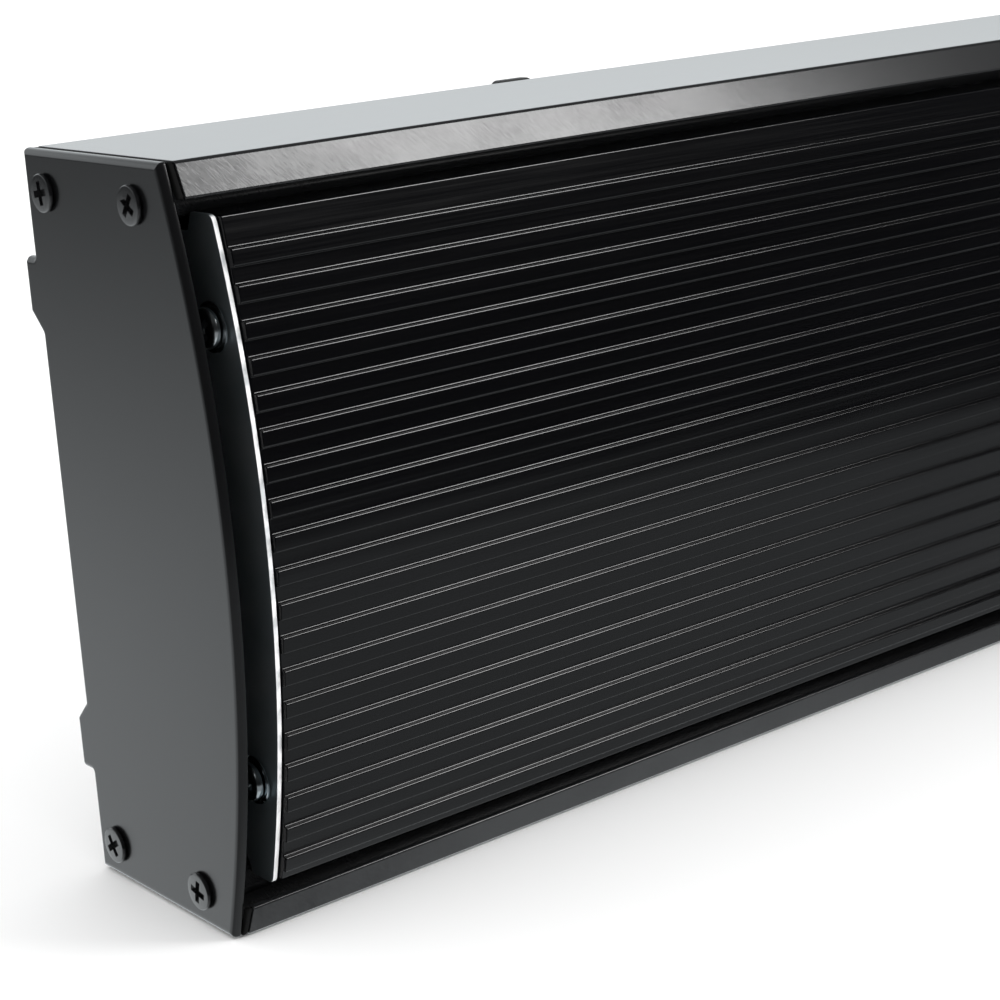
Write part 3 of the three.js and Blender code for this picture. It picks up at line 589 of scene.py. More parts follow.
def painted(name, colours, roughness, grain, depth, specular=0.5):
    """Powder coat: a fine orange-peel surface with a slight unevenness of shade and gloss."""
    material, nodes, links, shader = new_finish(name)
    shader.inputs["Specular IOR Level"].default_value = specular
    broad = noise(nodes, links, 9, 4)
    fine = noise(nodes, links, grain, 2)
    specks = noise(nodes, links, grain * 2.7, 1)
    links.new(tinted(nodes, links, broad, *colours), shader.inputs["Base Color"])
    links.new(ranged(nodes, links, broad, roughness - 0.03, roughness + 0.03), shader.inputs["Roughness"])
    bumped(nodes, links, shader, (fine, depth, 0.5), (specks, depth * 0.4, 0.4))
    return material


def extruded(name, colours, roughness, specular=0.5, depth=2e-6):
    """Anodised extrusion: faint die lines along X, a fine tooth and dull sawn ends."""
    material, nodes, links, shader = new_finish(name)
    broad = noise(nodes, links, 7, 4, (1, 3, 3))
    lines = noise(nodes, links, 1600, 3, (0.012, 1, 1))
    tooth = noise(nodes, links, 5200, 2)
    along = facing(nodes, links)["X"]
    sawn = multiplied(nodes, links, along, along)
    links.new(ranged(nodes, links, sawn, specular, 0.08, 0.2, 0.7), shader.inputs["Specular IOR Level"])
    links.new(tinted(nodes, links, broad, *colours), shader.inputs["Base Color"])
    links.new(ranged(nodes, links, lines, roughness - 0.04, roughness + 0.05), shader.inputs["Roughness"])
    bumped(nodes, links, shader, (lines, depth, 0.35), (tooth, depth, 0.25))
    return material


def housing_finish():
    """Satin black extrusion whose front lips carry fine slanting brush marks."""
    material, nodes, links, shader = new_finish("housing_satin_black")
    broad = noise(nodes, links, 6, 4, (1, 3, 3))
    tooth = noise(nodes, links, 4200, 2)
    marks = noise(nodes, links, 3000, 4, (1, 0.3, 0.1), (0, -40, 0))
    patches = noise(nodes, links, 55, 3)
    along = parts_of(nodes, links, nodes.new("ShaderNodeTexCoord").outputs["Object"])["X"]
    far_out = multiplied(nodes, links, along, along)
    wear = ranged(nodes, links, far_out, 0.55, 1, 0.185, 0.24)
    colour = tinted(nodes, links, broad, (0.010, 0.0103, 0.011), (0.013, 0.0134, 0.0142))
    links.new(colour, shader.inputs["Base Color"])
    lip = ranged(nodes, links, facing(nodes, links)["Y"], 1, 0, -0.85, -0.6)
    weight = multiplied(nodes, links, lip, ranged(nodes, links, patches, 0.45, 1))
    brushed = multiplied(nodes, links, marks, multiplied(nodes, links, weight, wear))
    links.new(ranged(nodes, links, brushed, 0.64, 0.2, 0, 0.6), shader.inputs["Specular IOR Level"])
    links.new(ranged(nodes, links, brushed, 0.16, 0.22, 0, 0.6), shader.inputs["Roughness"])
    bumped(nodes, links, shader, (brushed, 1.2e-5, 1.0), (tooth, 2e-6, 0.3))
    return material


def plated(name, colours, roughness, grain, depth):
    """Zinc plate: a cloudy bluish metal with a slight roll texture."""
    material, nodes, links, shader = new_finish(name)
    shader.inputs["Metallic"].default_value = 1
    clouds = noise(nodes, links, 60, 5)
    roll = noise(nodes, links, grain, 3, (1, 0.25, 1))
    links.new(tinted(nodes, links, clouds, *colours), shader.inputs["Base Color"])
    links.new(ranged(nodes, links, clouds, roughness - 0.06, roughness + 0.08), shader.inputs["Roughness"])
    bumped(nodes, links, shader, (roll, depth, 0.4))
    return material


def bracket_plate_finish():
    """Bluish zinc plate. Faces that point to the front are painted near-white and made rougher: a pale cut
    edge with a painted highlight on it.
    """
    material, nodes, links, shader = new_finish("bluish_zinc_plate")
    clouds = noise(nodes, links, 60, 5)
    roll = noise(nodes, links, 700, 3, (1, 0.25, 1))
    nicks = noise(nodes, links, 300, 4, (1, 1, 0.6))
    # Faces that point to the front, chiefly the cut edge, get the near-white: partly pale cut steel, partly
    # a painted highlight.
    edge = ranged(nodes, links, facing(nodes, links)["Y"], 1, 0, -0.7, -0.2)
    plate = tinted(nodes, links, clouds, (0.36, 0.43, 0.46), (0.52, 0.57, 0.6))
    # The near-white of the front faces: the cut edge's own colour with a painted highlight in it.
    cut_edge_and_highlight = tinted(nodes, links, nicks, (0.55, 0.57, 0.58), (0.95, 0.95, 0.95), 0.35, 0.55)
    links.new(blended(nodes, links, edge, plate, cut_edge_and_highlight), shader.inputs["Base Color"])
    links.new(ranged(nodes, links, edge, 0.94, 0.1, 0, 1), shader.inputs["Metallic"])
    links.new(ranged(nodes, links, edge, 0.46, 0.7, 0, 1), shader.inputs["Roughness"])
    bumped(nodes, links, shader, (roll, 4e-6, 0.4), (nicks, 4e-5, 0.5))
    return material


def moulded(name, colours, roughness, grain=2500, depth=6e-6, specular=0.5):
    """Moulded plastic, rubber, fired clay or fibre board: a toothed dull surface."""
    material, nodes, links, shader = new_finish(name)
    shader.inputs["Specular IOR Level"].default_value = specular
    broad = noise(nodes, links, 90, 4)
    tooth = noise(nodes, links, grain, 3)
    links.new(tinted(nodes, links, broad, *colours), shader.inputs["Base Color"])
    links.new(ranged(nodes, links, tooth, roughness - 0.05, roughness + 0.05), shader.inputs["Roughness"])
    bumped(nodes, links, shader, (tooth, depth, 0.5))
    return material


cap_black = ((0.0035, 0.0036, 0.004), (0.0045, 0.0046, 0.005))
panel_black = ((0.0012, 0.0012, 0.0016), (0.002, 0.002, 0.0026))
bracket_black = ((0.02, 0.0205, 0.021), (0.027, 0.0275, 0.028))
oxide_black = ((0.004, 0.004, 0.0045), (0.007, 0.007, 0.0075))
nylon_black = ((0.014, 0.014, 0.015), (0.019, 0.019, 0.02))
rubber_black = ((0.003, 0.003, 0.003), (0.0045, 0.0045, 0.0045))
zinc = ((0.5, 0.55, 0.58), (0.66, 0.68, 0.69))
steatite = ((0.78, 0.75, 0.68), (0.86, 0.83, 0.77))
fibre = ((0.68, 0.64, 0.56), (0.82, 0.79, 0.72))
tinted_steel = ((0.24, 0.19, 0.15), (0.36, 0.31, 0.27))
aluminised = ((0.68, 0.7, 0.71), (0.8, 0.81, 0.82))
brass = ((0.56, 0.4, 0.15), (0.68, 0.52, 0.24))
brown = ((0.16, 0.065, 0.026), (0.2, 0.085, 0.036))
blue = ((0.03, 0.11, 0.4), (0.045, 0.15, 0.46))
green = ((0.09, 0.32, 0.05), (0.12, 0.38, 0.07))

cap_finish = painted("cap_powder_coat", cap_black, roughness=0.23, grain=1500, depth=5e-6)
body_finish = housing_finish()
panel_finish = extruded("panel_anodised_black", panel_black, roughness=0.17, specular=0.6)
bracket_finish = painted("bracket_powder_coat", bracket_black, roughness=0.5, grain=1100, depth=1.4e-5)
zinc_finish = bracket_plate_finish()
screw_zinc = plated("bright_zinc_screw", zinc, roughness=0.18, grain=1800, depth=2e-6)
screw_black = painted(
    "black_oxide_screw", oxide_black, roughness=0.13, grain=2600, depth=2e-6, specular=0.9
)
plastic_finish = moulded("black_nylon", nylon_black, roughness=0.5)
rubber_finish = moulded("seal_rubber", rubber_black, roughness=0.75, specular=0.15)
ceramic_finish = moulded("fired_steatite", steatite, roughness=0.3, grain=1400, depth=3e-6)
board_finish = moulded("fibre_board", fibre, roughness=0.92, grain=900, depth=6e-5)
sheath_finish = plated("heat_tinted_sheath", tinted_steel, roughness=0.42, grain=900, depth=3e-6)
tray_finish = plated("aluminised_sheet", aluminised, roughness=0.28, grain=500, depth=5e-6)
brass_finish = plated("brass", brass, roughness=0.27, grain=1500, depth=2e-6)
wire_finishes = {
    "live_wire": moulded("brown_insulation", brown, roughness=0.38),
    "neutral_wire": moulded("blue_insulation", blue, roughness=0.38),
    "earth_wire": moulded("green_insulation", green, roughness=0.38),
}


# ---------------------------------------------------------------- camera, light and floor

# The lens and sensor in millimetres. The point looked at, to the right of the left cap and up, and the
# distance are shares of the heater's height. The turn, the look down and the roll are in degrees.
CAMERA_LENS = 83.37
CAMERA_SENSOR = 36
CAMERA_AIM_RIGHT = 0.481
CAMERA_AIM_UP = 0.483
CAMERA_DISTANCE = 3.1416
CAMERA_TURN = 38.49
CAMERA_DOWN = 15.39
CAMERA_ROLL = -3.553

# The softbox's middle, the point it faces and its sides, in metres, and its power in watts
SOFTBOX_PLACE = (1.07, -1.6, 1.5)
SOFTBOX_AIM = (-0.4, -0.05, 0.18)
SOFTBOX_SIDES = (0.76, 0.95)
SOFTBOX_POWER = 25

# The room's parts, each as the direction's y or z where it starts and ends, and its strength there
BEHIND = (0.2, 0.6, 0, 1)
AHEAD = (-0.1, 0.3, 1, 0)
NEAR_FLOOR = (-0.75, -0.65, 0.62, 0.3)
FRONT_BAND = (-0.31, -0.22, 1, 0)
REAR_TABLE = (-0.36, -0.02, 1.3, 0.1)
BACKDROP_RISE = (-0.02, 0.12, 0, 1.17)
BACKDROP_FALL = (0.42, 0.62, 1, 0)
CEILING = (0, 1, 0.015, 0.04)
SURROUND = 1.42
GLOSS_TINT = (0.942, 0.989, 1.012, 1)
WHITE = (1, 1, 1, 1)

FLOOR_HALF = 6
FLOOR_DROP = 0.0005
FLOOR_COLOURS = ((0.86, 0.86, 0.86), (0.88, 0.88, 0.88))


def make_camera():
    """Stands left of and in front of the heater's left end, and looks down a little."""
    data = bpy.data.cameras.new("camera")
    data.lens = CAMERA_LENS
    data.sensor_width = CAMERA_SENSOR
    data.clip_start = 0.02
    data.clip_end = 60
    camera = bpy.data.objects.new("camera", data)
    bpy.context.scene.collection.objects.link(camera)
    bpy.context.scene.camera = camera
    target = Vector((cap_low.x / MM + CAMERA_AIM_RIGHT * HEIGHT, FRONT_Y, CAMERA_AIM_UP * HEIGHT))
    a, e = math.radians(CAMERA_TURN), math.radians(CAMERA_DOWN)
    forward = Vector((math.sin(a) * math.cos(e), math.cos(a) * math.cos(e), -math.sin(e)))
    camera.location = (target - forward * CAMERA_DISTANCE * HEIGHT) * MM
    aim = forward.to_track_quat("-Z", "Y").to_matrix()
    camera.rotation_mode = "QUATERNION"
    roll = Matrix.Rotation(math.radians(CAMERA_ROLL), 3, "Z")
    camera.rotation_quaternion = (aim @ roll).to_quaternion()


def make_softbox():
    """A softbox that lights the heater without showing itself."""
    data = bpy.data.lights.new("softbox", "AREA")
    data.shape = "RECTANGLE"
    data.size, data.size_y = SOFTBOX_SIDES
    data.energy = SOFTBOX_POWER
    light = bpy.data.objects.new("softbox", data)
    bpy.context.scene.collection.objects.link(light)
    light.location = SOFTBOX_PLACE
    light.rotation_mode = "QUATERNION"
    light.rotation_quaternion = (Vector(SOFTBOX_AIM) - Vector(SOFTBOX_PLACE)).to_track_quat("-Z", "Y")
    light.visible_camera = False


def make_floor():
    """A pale seamless floor."""
    bm = bmesh.new()
    bmesh.ops.create_grid(bm, x_segments=2, y_segments=2, size=FLOOR_HALF)
    mesh = bpy.data.meshes.new("floor")
    bm.to_mesh(mesh)
    bm.free()
    material, nodes, links, shader = new_finish("floor_pale")
    colour = tinted(nodes, links, noise(nodes, links, 3, 2), *FLOOR_COLOURS)
    links.new(colour, shader.inputs["Base Color"])
    shader.inputs["Roughness"].default_value = 0.9
    shader.inputs["Specular IOR Level"].default_value = 0.1
    mesh.materials.append(material)
    floor = bpy.data.objects.new("floor", mesh)
    bpy.context.scene.collection.objects.link(floor)
    floor.location.z = -FLOOR_DROP
    floor.visible_glossy = False


def make_studio():
    """The room that the gloss sees, by direction only: a pale table below, a dark band at eye level in
    front, a white backdrop behind, and a plain white surround for the camera and for soft light."""
    world = bpy.data.worlds.new("studio")
    bpy.context.scene.world = world
    world.use_nodes = True
    nodes, links = world.node_tree.nodes, world.node_tree.links
    background = nodes["Background"]
    direction = parts_of(nodes, links, nodes.new("ShaderNodeTexCoord").outputs["Generated"])
    back, up = direction["Y"], direction["Z"]

    def smooth(source, start, end, low, high):
        return ranged(nodes, links, source, low, high, start, end, "SMOOTHSTEP")

    def product(a, b):
        return multiplied(nodes, links, a, b)

    def total(a, b):
        return combined(nodes, links, "ADD", a, b)

    behind = smooth(back, *BEHIND)
    ahead = smooth(back, *AHEAD)
    front_table = product(product(smooth(up, *NEAR_FLOOR), smooth(up, *FRONT_BAND)), ahead)
    rear_table = product(smooth(up, *REAR_TABLE), smooth(ahead, 0, 1, 1, 0))
    backdrop = product(product(smooth(up, *BACKDROP_RISE), smooth(up, *BACKDROP_FALL)), behind)
    room = total(total(total(front_table, rear_table), backdrop), smooth(up, *CEILING))
    rays = nodes.new("ShaderNodeLightPath")
    surround = nodes.new("ShaderNodeMix")
    surround.data_type = "FLOAT"
    surround.inputs["B"].default_value = SURROUND
    links.new(room, surround.inputs["A"])
    camera_rays, diffuse_rays = rays.outputs["Is Camera Ray"], rays.outputs["Is Diffuse Ray"]
    seen = combined(nodes, links, "MAXIMUM", camera_rays, diffuse_rays)
    links.new(seen, surround.inputs["Factor"])
    links.new(surround.outputs["Result"], background.inputs["Strength"])
    tint = blended(nodes, links, seen, GLOSS_TINT, WHITE)
    links.new(tint, background.inputs["Color"])


# ---------------------------------------------------------------- housing and end caps


def lip_corners():
    """The lower front lip, from the outer corner round to the inner face of the bottom wall."""
    slant = math.hypot(LIP_LEAN, LIP_HEIGHT)
    return [
        (0, 0, LIP_FOLD_ROUND),
        (-LIP_LEAN, LIP_HEIGHT, LIP_TIP_ROUND),
        (-LIP_LEAN + WALL * slant / LIP_HEIGHT, LIP_HEIGHT, 0.45),
        (WALL * (slant - LIP_LEAN) / LIP_HEIGHT, WALL, 0.4),
    ]


def port_points(y, z, wall):
    """An open screw port standing on the bottom wall on a short web."""
    foot = -math.degrees(math.acos(PORT_WEB / PORT_RADIUS))
    slot = PORT_SLOT_ANGLE
    return (
        [(y + PORT_WEB, wall)]
        + arc((y, z), PORT_RADIUS, foot, 90 - slot, 10)
        + arc((y, z), PORT_BORE, 90 - slot, -270 + slot, 18)
        + arc((y, z), PORT_RADIUS, 90 + slot, 180 - foot, 10)
        + [(y - PORT_WEB, wall)]
    )


def rail_corners():
    """The lower rear rail with its T-slot, from the outer side to the inner side."""
    back = DEPTH + RAIL_RISE
    slot = MID_Z - SLOT_Z
    lip = back - SLOT_LIP
    floor = DEPTH - 1
    outer_side = [
        (DEPTH, MID_Z - RAIL_OUTER, 0.4),
        (back - 1, MID_Z - RAIL_OUTER, 0.4),
        (back, MID_Z - RAIL_OUTER + 1, 0.4),
    ]
    groove = [
        (back, SLOT_MOUTH / 2, 0.3),
        (lip, SLOT_MOUTH / 2, 0.2),
        (lip, SLOT_WIDTH / 2, 0.2),
        (floor, SLOT_WIDTH / 2, 0.3),
    ]
    slot_sides = [(y, slot - half, radius) for y, half, radius in groove]
    slot_sides += [(y, slot + half, radius) for y, half, radius in reversed(groove)]
    inner_side = [(back, MID_Z - RAIL_INNER - RAIL_RISE, 0.6), (DEPTH, MID_Z - RAIL_INNER, 0.8)]
    return outer_side + slot_sides + inner_side


def housing_corners():
    """The housing's whole section: the C-shaped channel with its lips, rear rails and screw ports."""

    def half(port_z):
        """The lower half of the section, from the back round the outside to the inside."""
        ports = []
        for y in PORT_ROWS_Y:
            ports += plain(port_points(y, port_z, WALL))
        outside = [(DEPTH, 0, 1.2)] + rail_corners()
        return outside[::-1] + lip_corners() + ports[::-1] + [(DEPTH - WALL, WALL, 0.5)]

    return half(LOWER_PORT_Z) + mirrored(half(HEIGHT - UPPER_PORT_Z))


def make_housing():
    """The housing, shorter than its CAD node by the gasket and its gap at each end."""
    end = housing_high.x / MM - GASKET_THICKNESS - GASKET_GAP
    bm = bmesh.new()
    prism(bm, housing_corners(), "X", -end, end, (0.2, 0.2), 2)
    housing = finished("heater_housing", bm, body_finish)
    stand_for(housing, "heater", "housing")


def make_end_gasket(side, sign):
    """A die-cut rubber gasket with the housing's own section, in the last of the housing's length."""
    outer = sign * housing_high.x / MM
    start, end = sorted((outer, outer - sign * GASKET_THICKNESS))
    bm = bmesh.new()
    prism(bm, inset(housing_corners(), GASKET_INSET), "X", start, end, (0.3, 0.3), 3)
    gasket = finished(side + "_gasket", bm, rubber_finish)
    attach(gasket, "heater")


def cap_corners():
    """The end cap's outline, from the bowed face's top down and up the back past the rails' ends."""
    face = plain(bow_points(CAP_FRONT, CAP_BOW, HEIGHT, 0, 48))
    face[0] = (*face[0][:2], CAP_TIP_ROUND)
    face[-1] = (*face[-1][:2], CAP_TIP_ROUND)
    rail = [
        (DEPTH, MID_Z - RAIL_OUTER, 0.4),
        (DEPTH + RAIL_RISE - 1, MID_Z - RAIL_OUTER, 0.5),
        (DEPTH + RAIL_RISE, MID_Z - RAIL_OUTER + 1, 0.5),
        (DEPTH + RAIL_RISE, MID_Z - RAIL_INNER - RAIL_RISE, 0.8),
        (DEPTH, MID_Z - RAIL_INNER, 0.8),
    ]
    lower_back = [(DEPTH, 0, CAP_BACK_ROUND)] + rail
    return face + lower_back + mirrored(lower_back)


def make_end_cap(side, sign):
    outer = sign * LENGTH / 2
    start, end = sorted((outer, outer - sign * CAP_THICKNESS))
    rims = (CAP_RIM, CAP_INNER_RIM) if sign < 0 else (CAP_INNER_RIM, CAP_RIM)
    bm = bmesh.new()
    prism(bm, cap_corners(), "X", start, end, rims, steps=9)
    cap = finished(side + "_cap", bm, cap_finish)
    stand_for(cap, "heater", side + "_end_cap")


# ---------------------------------------------------------------- emitter panel and its brackets


def panel_corners():
    """The ribbed front, with a rounded ledge on each rib, and returns along both edges."""
    recess = PANEL_FRONT + RIB_STEP
    top, bottom = panel_high.z / MM, panel_low.z / MM
    points = [(bow(recess, PANEL_BOW, top), top, 0.5)]
    for i in range(RIB_COUNT):
        ledge = MID_Z + FIRST_LEDGE - i * RIB_PITCH
        under = max(ledge - RIB_PITCH / 2, bottom)
        points.append((bow(recess, PANEL_BOW, ledge), ledge, LEDGE_ROUND))
        points.append((bow(PANEL_FRONT, PANEL_BOW, ledge), ledge, LEDGE_ROUND))
        points.append((bow(PANEL_FRONT, PANEL_BOW, under), under, 0.55))
        if under > bottom:
            points.append((bow(recess, PANEL_BOW, under), under, 0.4))
    inner_bottom, inner_top = bottom + RETURN_WALL, top - RETURN_WALL
    points.append((bow(recess, PANEL_BOW, bottom), bottom, 0.5))
    points.append((RETURN_BACK, bottom, 0.4))
    points.append((RETURN_BACK, inner_bottom, 0.4))
    points += plain(bow_points(PANEL_FRONT + PANEL_WEB, PANEL_BOW, inner_bottom, inner_top, 24))
    points.append((RETURN_BACK, inner_top, 0.4))
    points.append((RETURN_BACK, top, 0.4))
    return points


def make_panel():
    bm = bmesh.new()
    prism(bm, panel_corners(), "X", panel_low.x / MM, panel_high.x / MM, (0.25, 0.25), 3)
    panel = finished("ribbed_panel", bm, panel_finish)
    stand_for(panel, "heater", "emitter_panel")


def bracket_corners():
    """A panel bracket's side: the bowed face, and behind it a notch and a taper at top and bottom."""
    top, bottom = bracket_high.z / MM, bracket_low.z / MM
    back = bracket_high.y / MM - FRONT_Y
    face = plain(bow_points(BRACKET_FRONT, BRACKET_BOW, top, bottom, 40))
    face[0] = (*face[0][:2], BRACKET_CORNER)
    face[-1] = (*face[-1][:2], BRACKET_CORNER)
    taper_start, taper_end = BRACKET_TAPER_Y

    def rear_edge(end, inwards):
        """From one end of the face to the flange. inwards is 1 at the bottom and -1 at the top."""
        return [
            (BRACKET_NOTCH_Y, end, 0.5),
            (BRACKET_NOTCH_Y + 2, end + inwards * BRACKET_NOTCH, 1),
            (taper_start, end + inwards * BRACKET_NOTCH, 3),
            (taper_end, MID_Z - inwards * BRACKET_NECK, 2),
            (back, MID_Z - inwards * BRACKET_NECK, 1),
        ]

    return face + rear_edge(bottom, 1) + rear_edge(top, -1)[::-1]


def make_panel_bracket(side, sign):
    """A bent plate at the panel's end, with a flange turned in along the housing's back."""
    low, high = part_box(side + "_panel_bracket")
    outer = (low.x if sign < 0 else high.x) / MM
    inner = outer - sign * BRACKET_THICKNESS
    bm = bmesh.new()
    prism(bm, bracket_corners(), "X", min(outer, inner), max(outer, inner), (0.2, 0.2), 3)
    back = high.y / MM - FRONT_Y
    near, far = sorted((outer, outer - sign * BRACKET_FLANGE))
    turned_in = [
        (near, back - BRACKET_THICKNESS, 0.3),
        (far, back - BRACKET_THICKNESS, 0.3),
        (far, back, 0.3),
        (near, back, 0.3),
    ]
    prism(bm, turned_in, "Z", MID_Z - BRACKET_NECK, MID_Z + BRACKET_NECK, (0.3, 0.3), 2)
    bracket = finished(side + "_bracket_plate", bm, zinc_finish)
    stand_for(bracket, "heater", side + "_panel_bracket")


# ---------------------------------------------------------------- fasteners


def pan_head_section(radius, height, shank, length):
    """A low pan head, from the middle of its slightly domed crown round the shoulder to the shank's tip."""
    shoulder = height * 0.52
    crown = [(0, -height), (radius * 0.45, -height * 0.985), (radius * 0.7, -height * 0.93)]
    middle = (radius - shoulder, -height + shoulder * 1.12)
    rim = arc(middle, shoulder, -65, 0, 5)
    foot = [(radius, -0.25), (radius - 0.2, 0), (shank, 0), (shank, length - shank), (0, length)]
    return crown + rim + foot


def cross_recess(crown, sign, axis, size, depth, turn):
    """A tapered cross-shaped cutter, sunk into a screw's crown."""
    bm = bmesh.new()
    half, wing = size / 2, size * RECESS_WING
    above, mouth, floor = (-1.2, half, wing), (0, half, wing), (depth, half * 0.4, wing * 0.8)
    loops = []
    for distance, reach, width in (above, mouth, floor):
        arm = [(reach, -width), (reach, width), (width, width)]
        ring = []
        for quarter in range(4):
            angle = math.radians(turn + 90 * quarter)
            for a, b in arm:
                across = a * math.cos(angle) - b * math.sin(angle)
                up = a * math.sin(angle) + b * math.cos(angle)
                if axis == "X":
                    place = (crown[0] - sign * distance, crown[1] + across + FRONT_Y, crown[2] + up)
                else:
                    place = (crown[0] + across, crown[1] - sign * distance + FRONT_Y, crown[2] + up)
                ring.append(Vector(place) * MM)
        loops.append(ring)
    loft(bm, loops)
    return cutter_from(bm)


def make_screw(node, body, axis, sign, sizes, material, turn):
    """A cross-head screw in place of a CAD one. sign is the side that its head faces along the axis."""
    radius, height, shank, length = sizes
    low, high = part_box(node)
    middle = (low + high) / 2 / MM
    origin = Vector((middle.x, middle.y - FRONT_Y, middle.z))
    index = "XY".index(axis)
    face = (high if sign > 0 else low)[index] / MM - (FRONT_Y if axis == "Y" else 0)
    seat = face - sign * height
    origin[index] = seat
    bm = bmesh.new()
    direction = ("-" if sign > 0 else "+") + axis
    turned(bm, pan_head_section(radius, height, shank, length), direction, origin, 40)
    screw = finished(node + "_turned", bm, material)
    crown = Vector(origin)
    crown[index] = face
    carved(screw, cross_recess(crown, sign, axis, radius * RECESS_SIZE, radius * RECESS_DEPTH, turn))
    stand_for(screw, body, node)


def make_washer(node):
    """A flat washer whose axis is along X, with softened rims."""
    inner, outer, thickness = WASHER
    low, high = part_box(node)
    middle = (low + high) / 2 / MM
    edge = WASHER_EDGE
    section = [(inner, edge), (inner + edge, 0), (outer - edge, 0), (outer, edge)]
    section += [(radius, thickness - depth) for radius, depth in reversed(section)]
    bm = bmesh.new()
    turned(bm, section, "+X", (low.x / MM, middle.y - FRONT_Y, middle.z))
    washer = finished(node + "_turned", bm, screw_zinc)
    stand_for(washer, "heater", node)


def make_fasteners():
    """Every cross-head screw and washer, each screw left at its own turn."""
    for side, sign in ENDS:
        turn = 12
        for place in ("front", "rear"):
            for level, up in LEVELS:
                node = f"{side}_cap_screw_{place}_{level}"
                make_screw(node, "heater", "X", sign, CAP_SCREW, screw_black, turn)
                turn += 23
        for level, up in LEVELS:
            make_washer(f"{side}_bracket_washer_{level}")
            node = f"{side}_bracket_screw_{level}"
            make_screw(node, "heater", "X", sign, BRACKET_SCREW, screw_zinc, 30 + 20 * up)
            node = f"{side}_back_screw_{level}"
            make_screw(node, "heater", "Y", 1, BACK_SCREW, screw_black, 15 + 25 * up)


# ---------------------------------------------------------------- wall brackets


def add_ears(bm, ear, centre, reach):
    """Two sheet ears of one outline, whose outer faces are at reach on each side of centre."""
    for out in (-1, 1):
        start, end = sorted((centre + out * reach, centre + out * (reach - STRAP_SHEET)))
        prism(bm, ear, "X", start, end, SHEET_RIMS)


def make_strap(side):
    """A strap across both rails, narrowed at its ends, with two ears for the pivot bolt."""
    node = side + "_rail_strap"
    low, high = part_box(node)
    centre = (low.x + high.x) / 2 / MM
    half = (high.x - low.x) / 2 / MM
    bottom, top = low.z / MM, high.z / MM
    front = low.y / MM - FRONT_Y
    back = front + STRAP_SHEET
    shape = [
        (centre - STRAP_TIP, bottom, 2.5),
        (centre + STRAP_TIP, bottom, 2.5),
        (centre + half, bottom + STRAP_TAPER, 6),
        (centre + half, top - STRAP_TAPER, 6),
        (centre + STRAP_TIP, top, 2.5),
        (centre - STRAP_TIP, top, 2.5),
        (centre - half, top - STRAP_TAPER, 6),
        (centre - half, bottom + STRAP_TAPER, 6),
    ]
    bm = bmesh.new()
    prism(bm, shape, "Y", front, back, SHEET_RIMS, corner_steps=5)
    rise, foot = back + STRAP_EAR_RISE, back - 1
    ear = [(foot, MID_Z - STRAP_EAR_HALF, 0), (rise, MID_Z - STRAP_EAR_HALF, 4)]
    ear += plain(arc((PIVOT_Y, MID_Z), EAR_RADIUS, -60, 60, 20))
    ear += [(rise, MID_Z + STRAP_EAR_HALF, 4), (foot, MID_Z + STRAP_EAR_HALF, 0)]
    add_ears(bm, ear, centre, half)
    strap = finished(side + "_strap", bm, bracket_finish)
    stand_for(strap, side + "_strap", node)


def make_wall_plate(side):
    """A slotted plate for the wall, with two ears that sit inside the strap's."""
    node = side + "_wall_plate"
    low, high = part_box(node)
    centre = (low.x + high.x) / 2 / MM
    half_x = (high.x - low.x) / 2 / MM
    half_z = (high.z - low.z) / 2 / MM
    back = high.y / MM - FRONT_Y
    front = back - STRAP_SHEET
    quarters = ((-1, -1), (1, -1), (1, 1), (-1, 1))
    shape = [(centre + a * half_x, MID_Z + b * half_z, PLATE_CORNER) for a, b in quarters]
    bm = bmesh.new()
    prism(bm, shape, "Y", front, back, SHEET_RIMS, corner_steps=8)
    plate = finished(side + "_plate", bm, bracket_finish)
    cutters = []
    for out in (-1, 1):
        for up in (-1, 1):
            x, z = centre + out * PLATE_SLOT_X, MID_Z + up * PLATE_SLOT_Z
            slot = arc((x, z - PLATE_SLOT_HALF), PLATE_SLOT_RADIUS, 180, 360, 12)
            slot += arc((x, z + PLATE_SLOT_HALF), PLATE_SLOT_RADIUS, 0, 180, 12)
            work = bmesh.new()
            prism(work, plain(slot), "Y", front - 1, back + 1, (0, 0))
            cutters.append(cutter_from(work))
    carved(plate, *cutters)
    ear = [(front + 1, MID_Z - EAR_RADIUS, 0), (front + 1, MID_Z + EAR_RADIUS, 0)]
    ear += plain(arc((PIVOT_Y, MID_Z), EAR_RADIUS, 90, 270, 24))
    strap_low, strap_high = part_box(side + "_rail_strap")
    outer = (strap_high.x - strap_low.x) / 2 / MM - STRAP_SHEET - EAR_PLAY
    work = bmesh.new()
    work.from_mesh(plate.data)
    add_ears(work, ear, centre, outer)
    bmesh.ops.recalc_face_normals(work, faces=work.faces)
    creased(work)
    work.to_mesh(plate.data)
    work.free()
    stand_for(plate, side + "_plate", node)


def make_nut(node, name, axis, across_flats, bore, material, slot, body, crease=CREASE):
    """A hexagonal nut in place of a CAD one whose axis is along X or Y."""
    low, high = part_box(node)
    index = "XY".index(axis)
    seat = (low + high) / 2 / MM
    seat[index] = low[index] / MM
    seat.y -= FRONT_Y
    bm = bmesh.new()
    hexagon(bm, "+" + axis, seat, across_flats, bore, (high - low)[index] / MM)
    stand_for(finished(name, bm, material, crease), body, node)


